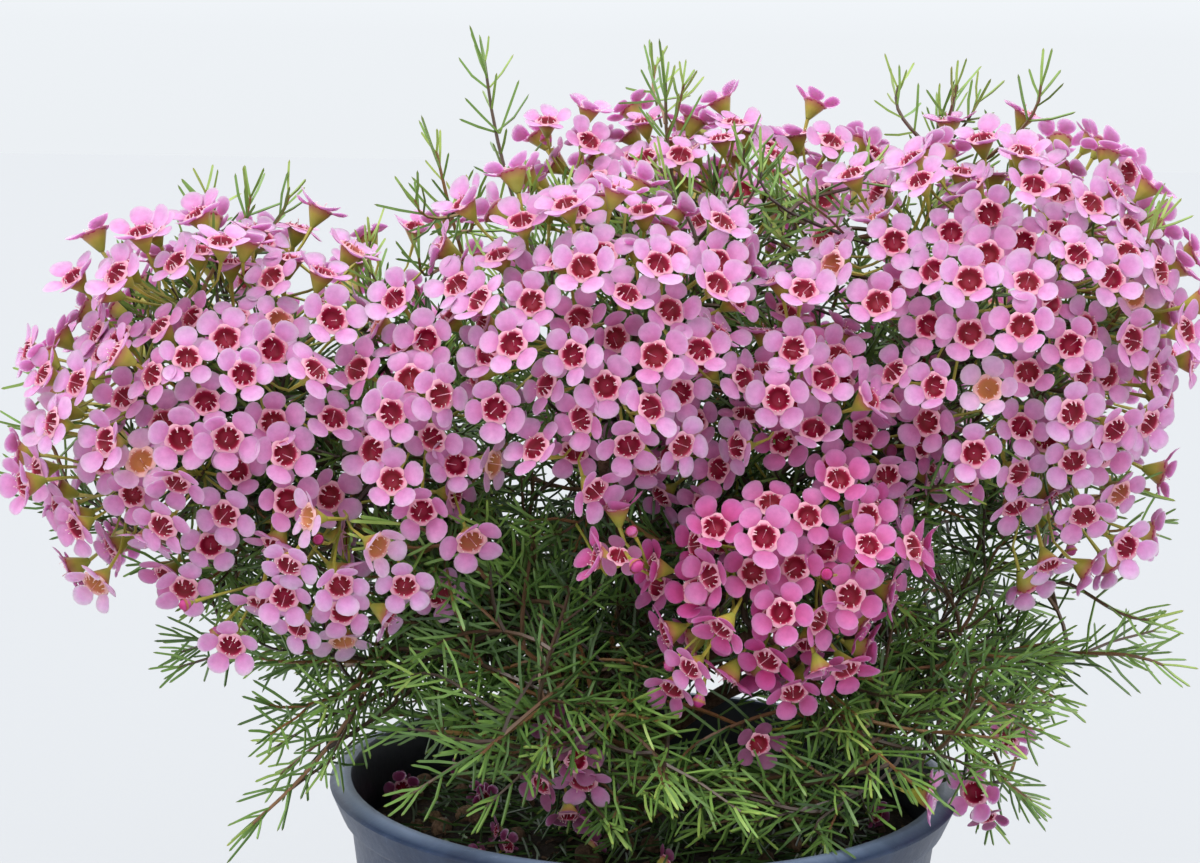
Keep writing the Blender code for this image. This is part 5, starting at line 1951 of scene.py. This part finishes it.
def pot_profile():
    """The pot's outline, up inside from the middle of its floor and down outside: radius, height, shade. The
    shade darkens the inside, partly the plastic's own colour and partly painted shade, and is painted shade
    under the skirt and under the pot.
    """
    top = POT_HEIGHT
    shoulder = POT_HEIGHT - POT_RIM_DROP
    under = POT_HEIGHT - POT_RIM_DROP - POT_SKIRT
    inner = inner_radius(POT_FLOOR)
    skirt = POT_RIM_RADIUS - POT_SKIRT_TAPER
    inside = [(0, POT_FLOOR, 1), (inner - 0.002, POT_FLOOR, 1), (inner, POT_FLOOR + 0.0015, 1)]
    for height, shade_here in ((top * 0.5, 1), (top - 0.012, 1), (top - 0.0012, 0.9)):
        inside.append((inner_radius(height), height, shade_here))
    return inside + [
        (POT_MOUTH_RADIUS + 0.0004, top - 0.0002, 0.3),
        (POT_LIP_RADIUS - 0.0003, top, 0),
        (POT_LIP_RADIUS + 0.0004, top - 0.0002, 0),
        (POT_RIM_RADIUS - 0.0007, shoulder + 0.0002, 0),
        (POT_RIM_RADIUS, shoulder - 0.0006, 0),
        (skirt + 0.0004, under + 0.0012, 0),
        (skirt, under + 0.0003, 0),
        (skirt - 0.0005, under, 0),
        (POT_NECK_RADIUS + 0.0004, under, 0.2),
        (POT_NECK_RADIUS, under - 0.0006, 0),
        (POT_BASE_RADIUS + 0.0006, 0.006, 0),
        (POT_BASE_RADIUS, POT_BASE_CHAMFER, 0),
        (POT_BASE_RADIUS - POT_BASE_CHAMFER, 0, 0.2),
        (0, 0, 0.5),
    ]


def build_pot(look):
    profile = pot_profile()
    local, shades, faces = lathe(profile, ROUND)
    angle = np.arctan2(local[:, 1], local[:, 0]) / (2 * math.pi) % 1
    counts = [1 if row[0] == 0 else ROUND for row in profile]
    place = np.repeat(np.arange(len(profile)) / (len(profile) - 1), counts)
    groups = []
    for rows in faces:
        about = angle[rows]
        about = np.where(about.max(1, keepdims=True) - about > 0.5, about + 1, about) % 1.0001
        groups.append((rows, np.stack([about, place[rows]], -1), 0))
    # The profile's shade values, painted shade, go in as the tone, and the rings on top outside the mouth get
    # a painted highlight
    lip_highlight = (np.abs(local[:, 2] - POT_HEIGHT) < 0.0015) & (shades < 0.5)
    heap = Heap()
    heap.add(local, groups, shades, 0.5, np.where(lip_highlight, 1.0, 0.0))
    pot = heap.piece("pot_shell", look, "pot_plastic", ("pot",), 40)
    drill(pot, look)


def drill(pot, look):
    """Cuts the drain holes through the pot's floor."""
    cutters = bpy.data.collections.new("cutters")
    bpy.context.scene.collection.children.link(cutters)
    high = 3 * POT_FLOOR
    outline = (0, high, 0), (DRAIN_RADIUS, high, 0), (DRAIN_RADIUS, -POT_FLOOR, 0), (0, -POT_FLOOR, 0)
    rod, _, sides = lathe(outline, 20)
    rod_faces = [list(face) for rows in sides for face in rows.tolist()]
    for i in range(DRAIN_HOLES):
        a = 2 * math.pi * (i + 0.5) / DRAIN_HOLES
        points = rod + np.array([DRAIN_CIRCLE * math.cos(a), DRAIN_CIRCLE * math.sin(a), 0])
        mesh = bpy.data.meshes.new("cutter")
        mesh.from_pydata(points.tolist(), [], rod_faces)
        cutters.objects.link(bpy.data.objects.new("cutter", mesh))
    cut = pot.modifiers.new("drain", "BOOLEAN")
    cut.operation = "DIFFERENCE"
    cut.operand_type = "COLLECTION"
    cut.collection = cutters
    cut.solver = "EXACT"
    holed = bpy.data.meshes.new_from_object(pot.evaluated_get(bpy.context.evaluated_depsgraph_get()))
    pot.modifiers.clear()
    pot.data = holed
    holed.materials.clear()
    holed.materials.append(look)
    for tool in list(cutters.objects):
        bpy.data.objects.remove(tool)
    bpy.data.collections.remove(cutters)


def ground(x, y):
    """The dressed soil's height at a place."""
    radius, angle = math.hypot(x, y), math.atan2(y, x)
    lumps = noise.noise(Vector((x, y, 0)) * 160) * 0.0009 + noise.noise(Vector((x, y, 3)) * 420) * 0.0007
    return soil_height(radius, angle) + lumps


# Litter on the soil: how many of each, and where some fallen blooms and the dry twigs lie
FALLEN = 16
CHIPS = 520
LITTER_CAPSULES = 64
LITTER_NEEDLES = 1100
LITTER_DEPTH = 0.006
FALLEN_AT = (
    (-0.081, 0.040), (-0.080, 0.026), (-0.050, -0.036), (-0.042, -0.030), (-0.022, -0.014), (0.006, -0.050),
)
DRY_TWIGS = (
    ((-0.062, -0.052), (-0.012, -0.064), 0.0007),
    ((0.020, 0.060), (0.058, 0.044), 0.0006),
    ((-0.030, 0.050), (-0.058, 0.030), 0.0008),
)
CAPSULE_MM = (
    (0.0, 3.0, 0.2), (1.4, 2.6, 0.3), (2.7, 1.5, 0.55), (3.2, -0.2, 0.6),
    (2.5, -2.2, 0.5), (1.2, -3.2, 0.35), (0.0, -3.3, 0.2),
)
# Chips: their three half sizes, how their corners vary, their tilts in radians, and their gap to the stem
CHIP_MM = ((0.8, 2.6), (0.6, 1.5), (0.2, 0.6))
CHIP_CORNERS = (0.6, 1.1)
CHIP_TILTS = (0.4, 0.3)
STEM_CLEAR = 0.012
BOX_CORNERS = np.array([(x, y, z) for x in (-1, 1) for y in (-1, 1) for z in (-1, 1)], float)
BOX_FACES = np.array([(0, 1, 3, 2), (4, 6, 7, 5), (0, 4, 5, 1), (2, 3, 7, 6), (0, 2, 6, 4), (1, 5, 7, 3)])
BOX_MAP = np.array([((0, 0), (1, 0), (1, 1), (0, 1))] * 6, float)


def soil_spot(nearest, edge):
    """A place on the soil, evenly spread from a share of its area outward: radius, x and y."""
    radius = math.sqrt(rng.uniform(nearest, 1)) * edge
    angle = rng.uniform(0, FULL_TURN)
    return radius, radius * math.cos(angle), radius * math.sin(angle)


def add_chips(heap, edge):
    """Chips of bark and crumbs of soil: boxes with moved corners."""
    for _ in range(CHIPS):
        radius, x, y = soil_spot(0.01, edge - 0.004)
        if radius < STEM_CLEAR:
            continue
        size = np.array([rng.uniform(*span) for span in CHIP_MM]) * MM
        turn = Matrix.Rotation(rng.uniform(0, FULL_TURN), 3, "Z")
        for axis, spread in zip("XY", CHIP_TILTS):
            turn = turn @ Matrix.Rotation(rng.normal(0, spread), 3, axis)
        shape = BOX_CORNERS * size * rng.uniform(*CHIP_CORNERS, (8, 3)) @ np.array(turn).T
        points = shape + np.array([x, y, ground(x, y) + size[2] * 0.5])
        heap.add(points, [(BOX_FACES, BOX_MAP, 0)], rng.uniform(0, 0.7), 0.5, rng.uniform(0.4, 1.0))


def add_capsules(heap, edge):
    """Old seed capsules, the first of them over the lumps of the soil's solid."""
    form = lathe(CAPSULE_MM, 8)
    shapes = capsule_shapes(random.Random(SEED))
    lumps = [sum((Vector(p) for p in points), Vector()) / len(points) for points, _ in shapes]
    for i in range(LITTER_CAPSULES):
        _, x, y = soil_spot(0.05, edge - 0.006)
        place = Vector((x, y, 0))
        size = rng.uniform(0.62, 1.1)
        if i < len(lumps):
            place = Vector((lumps[i].x, lumps[i].y, 0))
            size = 1.12
        place.z = ground(place.x, place.y) + size * 0.0014
        facing = Vector(rng.normal(0, 1, 3)).normalized()
        turn = rng.uniform(0, FULL_TURN)
        add_turned(heap, form, place, facing, turn, size, rng.uniform(0.3, 0.75), 1.0)


def build_soil(look):
    """The soil with its litter as one piece. Gives back the radius of its edge."""
    edge = inner_radius(SOIL_LEVEL - 0.004) - 1.5 * SEAT_GAP
    bottom = POT_FLOOR + SEAT_GAP
    rings = np.linspace(0.0, edge, 34)
    rows = [(0, 0, 0)] + [(r, 0, 0) for r in rings[1:]]
    rows += [(inner_radius(bottom) - 1.5 * SEAT_GAP, bottom, 0), (0, bottom, 0)]
    local, _, faces = lathe(rows, ROUND)
    for point in local[:1 + ROUND * (len(rings) - 1)]:
        point[2] = ground(point[0], point[1])
    groups = []
    for k, face_rows in enumerate(faces):
        groups.append((face_rows, 0.5 + 0.5 * local[face_rows][..., :2] / 0.1, int(k > len(rings) - 2)))
    heap = Heap()
    heap.add(local, groups, 0.3, 0.5, 0.0, squares=2)
    add_chips(heap, edge)
    add_capsules(heap, edge)
    for start, end, thick in DRY_TWIGS:
        path = []
        for k in range(9):
            x = start[0] + (end[0] - start[0]) * k / 8
            y = start[1] + (end[1] - start[1]) * k / 8 + 0.0016 * math.sin(k)
            path.append((x, y, ground(x, y) + thick + 0.0012 * math.sin(k * 0.4)))
        add_tube(heap, path, thick, 5, 0.95, 0.5, 1.0, 0.06)
    heap.piece("soil_surface", look, "potting_soil", ("soil",), 40)
    return edge


def build_litter(edge, looks):
    """Fallen needles and blooms on the soil."""
    leaves = []
    heaps = Heap(), Heap(), Heap()
    for _ in range(LITTER_NEEDLES):
        _, x, y = soil_spot(0.03, edge - 0.012)
        lift = rng.uniform(0, 1) ** 2 * LITTER_DEPTH
        way = unit_row(np.array([rng.normal(), rng.normal(), rng.normal(0, 0.06 + 30 * lift)]))
        length = rng.uniform(0.008, 0.016)
        root = np.array([x, y, ground(x, y) + 0.0009 + lift]) - way * length / 2
        if math.hypot(root[0] + way[0] * length, root[1] + way[1] * length) > edge - 0.002:
            continue
        bend = rng.normal(0, 0.05, 3) * (1, 1, 0.3)
        leaves.append((root, way, length, bend, LEAF_RADIUS * 0.85, rng.uniform(-0.3, 0.35)))
    add_leaves(heaps[2], leaves)
    for i in range(FALLEN):
        _, x, y = soil_spot(0.2, edge - 0.012)
        if i < len(FALLEN_AT):
            x, y = FALLEN_AT[i]
        facing = unit((rng.normal(0, 1), rng.normal(0, 1), rng.choice((0.15, -0.4, 0.5))))
        centre = Vector((x, y, ground(x, y) + 0.0036))
        flower = (centre, facing, rng.uniform(0, FULL_TURN), rng.uniform(0.5, 0.68))
        # The deepest tone and darker petals: painted shade under the bush
        add_bloom_dress(heaps, flower, 1.0, False, centre - facing * 0.0055)
    make_pieces(heaps, looks, "litter")


# Stage: a pale floor, a pale sky that is stronger overhead, and one soft lamp
FLOOR_COLOUR = (0.4786, 0.4823, 0.4904, 1)
FLOOR_RADIUS = 40
FLOOR_SIDES = 64
SKY_STOPS = ((0.0, (236, 240, 244)), (0.08, (239, 243, 247)))
SKY_STRENGTH = {"From Min": 0.05, "From Max": 0.6, "To Min": 1.0, "To Max": 1.82}
KEY_STRENGTH = 0.88
KEY_TURN = (30, 0, -30)
KEY_ANGLE = 14
KEY_COLOUR = (1.0, 0.985, 0.96)

# Camera, as fitted to the pot's rim in the photo
CAMERA_AT = (-0.0157, -0.65, 0.389)
CAMERA_DOWN = 7.9
CAMERA_ROLL = 0.95
CAMERA_LENS = 62.64


def build_floor():
    mesh = bpy.data.meshes.new("floor")
    angles = [2 * math.pi * i / FLOOR_SIDES for i in range(FLOOR_SIDES)]
    points = [(FLOOR_RADIUS * math.cos(a), FLOOR_RADIUS * math.sin(a), 0) for a in angles]
    mesh.from_pydata(points, [], [list(range(FLOOR_SIDES))])
    look = Look("backdrop", 0.9, 0.0)
    look.shader.inputs["Base Color"].default_value = FLOOR_COLOUR
    mesh.materials.append(look.material)
    floor = bpy.data.objects.new("floor", mesh)
    bpy.context.scene.collection.objects.link(floor)


def build_light():
    world = bpy.data.worlds.new("studio")
    bpy.context.scene.world = world
    world.use_nodes = True
    tree = world.node_tree
    sky = tree.nodes["Background"]
    spot = tree.nodes.new("ShaderNodeTexCoord")
    split = tree.nodes.new("ShaderNodeSeparateXYZ")
    ramp = tree.nodes.new("ShaderNodeValToRGB")
    overhead = tree.nodes.new("ShaderNodeMapRange")
    tree.links.new(spot.outputs["Generated"], split.inputs[0])
    tree.links.new(split.outputs["Z"], ramp.inputs["Fac"])
    tree.links.new(ramp.outputs["Color"], sky.inputs["Color"])
    tree.links.new(split.outputs["Z"], overhead.inputs["Value"])
    tree.links.new(overhead.outputs["Result"], sky.inputs["Strength"])
    for element, (place, colour) in zip(ramp.color_ramp.elements, SKY_STOPS):
        element.position = place
        element.color = srgb(*colour)
    for socket, value in SKY_STRENGTH.items():
        overhead.inputs[socket].default_value = value
    lamp = bpy.data.lights.new("key", "SUN")
    lamp.energy = KEY_STRENGTH
    lamp.angle = math.radians(KEY_ANGLE)
    lamp.color = KEY_COLOUR
    made = bpy.data.objects.new("key", lamp)
    made.rotation_euler = [math.radians(v) for v in KEY_TURN]
    bpy.context.scene.collection.objects.link(made)


def build_camera():
    data = bpy.data.cameras.new("camera")
    data.lens = CAMERA_LENS
    data.sensor_width = 36.0
    camera = bpy.data.objects.new("camera", data)
    camera.location = CAMERA_AT
    tilt = Matrix.Rotation(math.radians(90 - CAMERA_DOWN), 4, "X")
    roll = Matrix.Rotation(math.radians(CAMERA_ROLL), 4, "Z")
    camera.rotation_euler = (tilt @ roll).to_euler()
    bpy.context.scene.collection.objects.link(camera)
    bpy.context.scene.camera = camera


def main():
    build_camera()
    build_floor()
    build_light()
    scene = bpy.context.scene
    scene.view_settings.view_transform = "Standard"
    scene.view_settings.look = "None"
    sprays, sprigs = plan_bush()
    branches = sprays + sprigs
    flowers = [flower for branch in branches for flower in branch["blooms"]]
    looks = petal_look(), heart_look(), leaf_look()
    tree = obstacle_tree(flowers)
    build_sprays(sprays, looks, tree)
    build_sprigs(sprigs, looks, tree)
    bones, bone_ways = skeleton(branches)
    build_extras(flowers, looks, tree, bones, bone_ways)
    for zone in ZONES:
        heap, bones, bone_ways = grow_zone(zone, bones, bone_ways, tree)
        heap.piece("leaves_" + zone[0], looks[2], "leaves", (), LEAF_SHARP)
    lone_shoots(bones, bone_ways, tree).piece("leaves_lone", looks[2], "leaves", (), LEAF_SHARP)
    # Petals darkened with painted shade, for blooms low under the bush and on the soil
    low_shade_looks = petal_look(True), *looks[1:]
    build_strays(low_shade_looks, bones)
    build_wood(bark_look())
    build_pot(plastic_look())
    edge = build_soil(soil_look())
    build_litter(edge, low_shade_looks)


main()
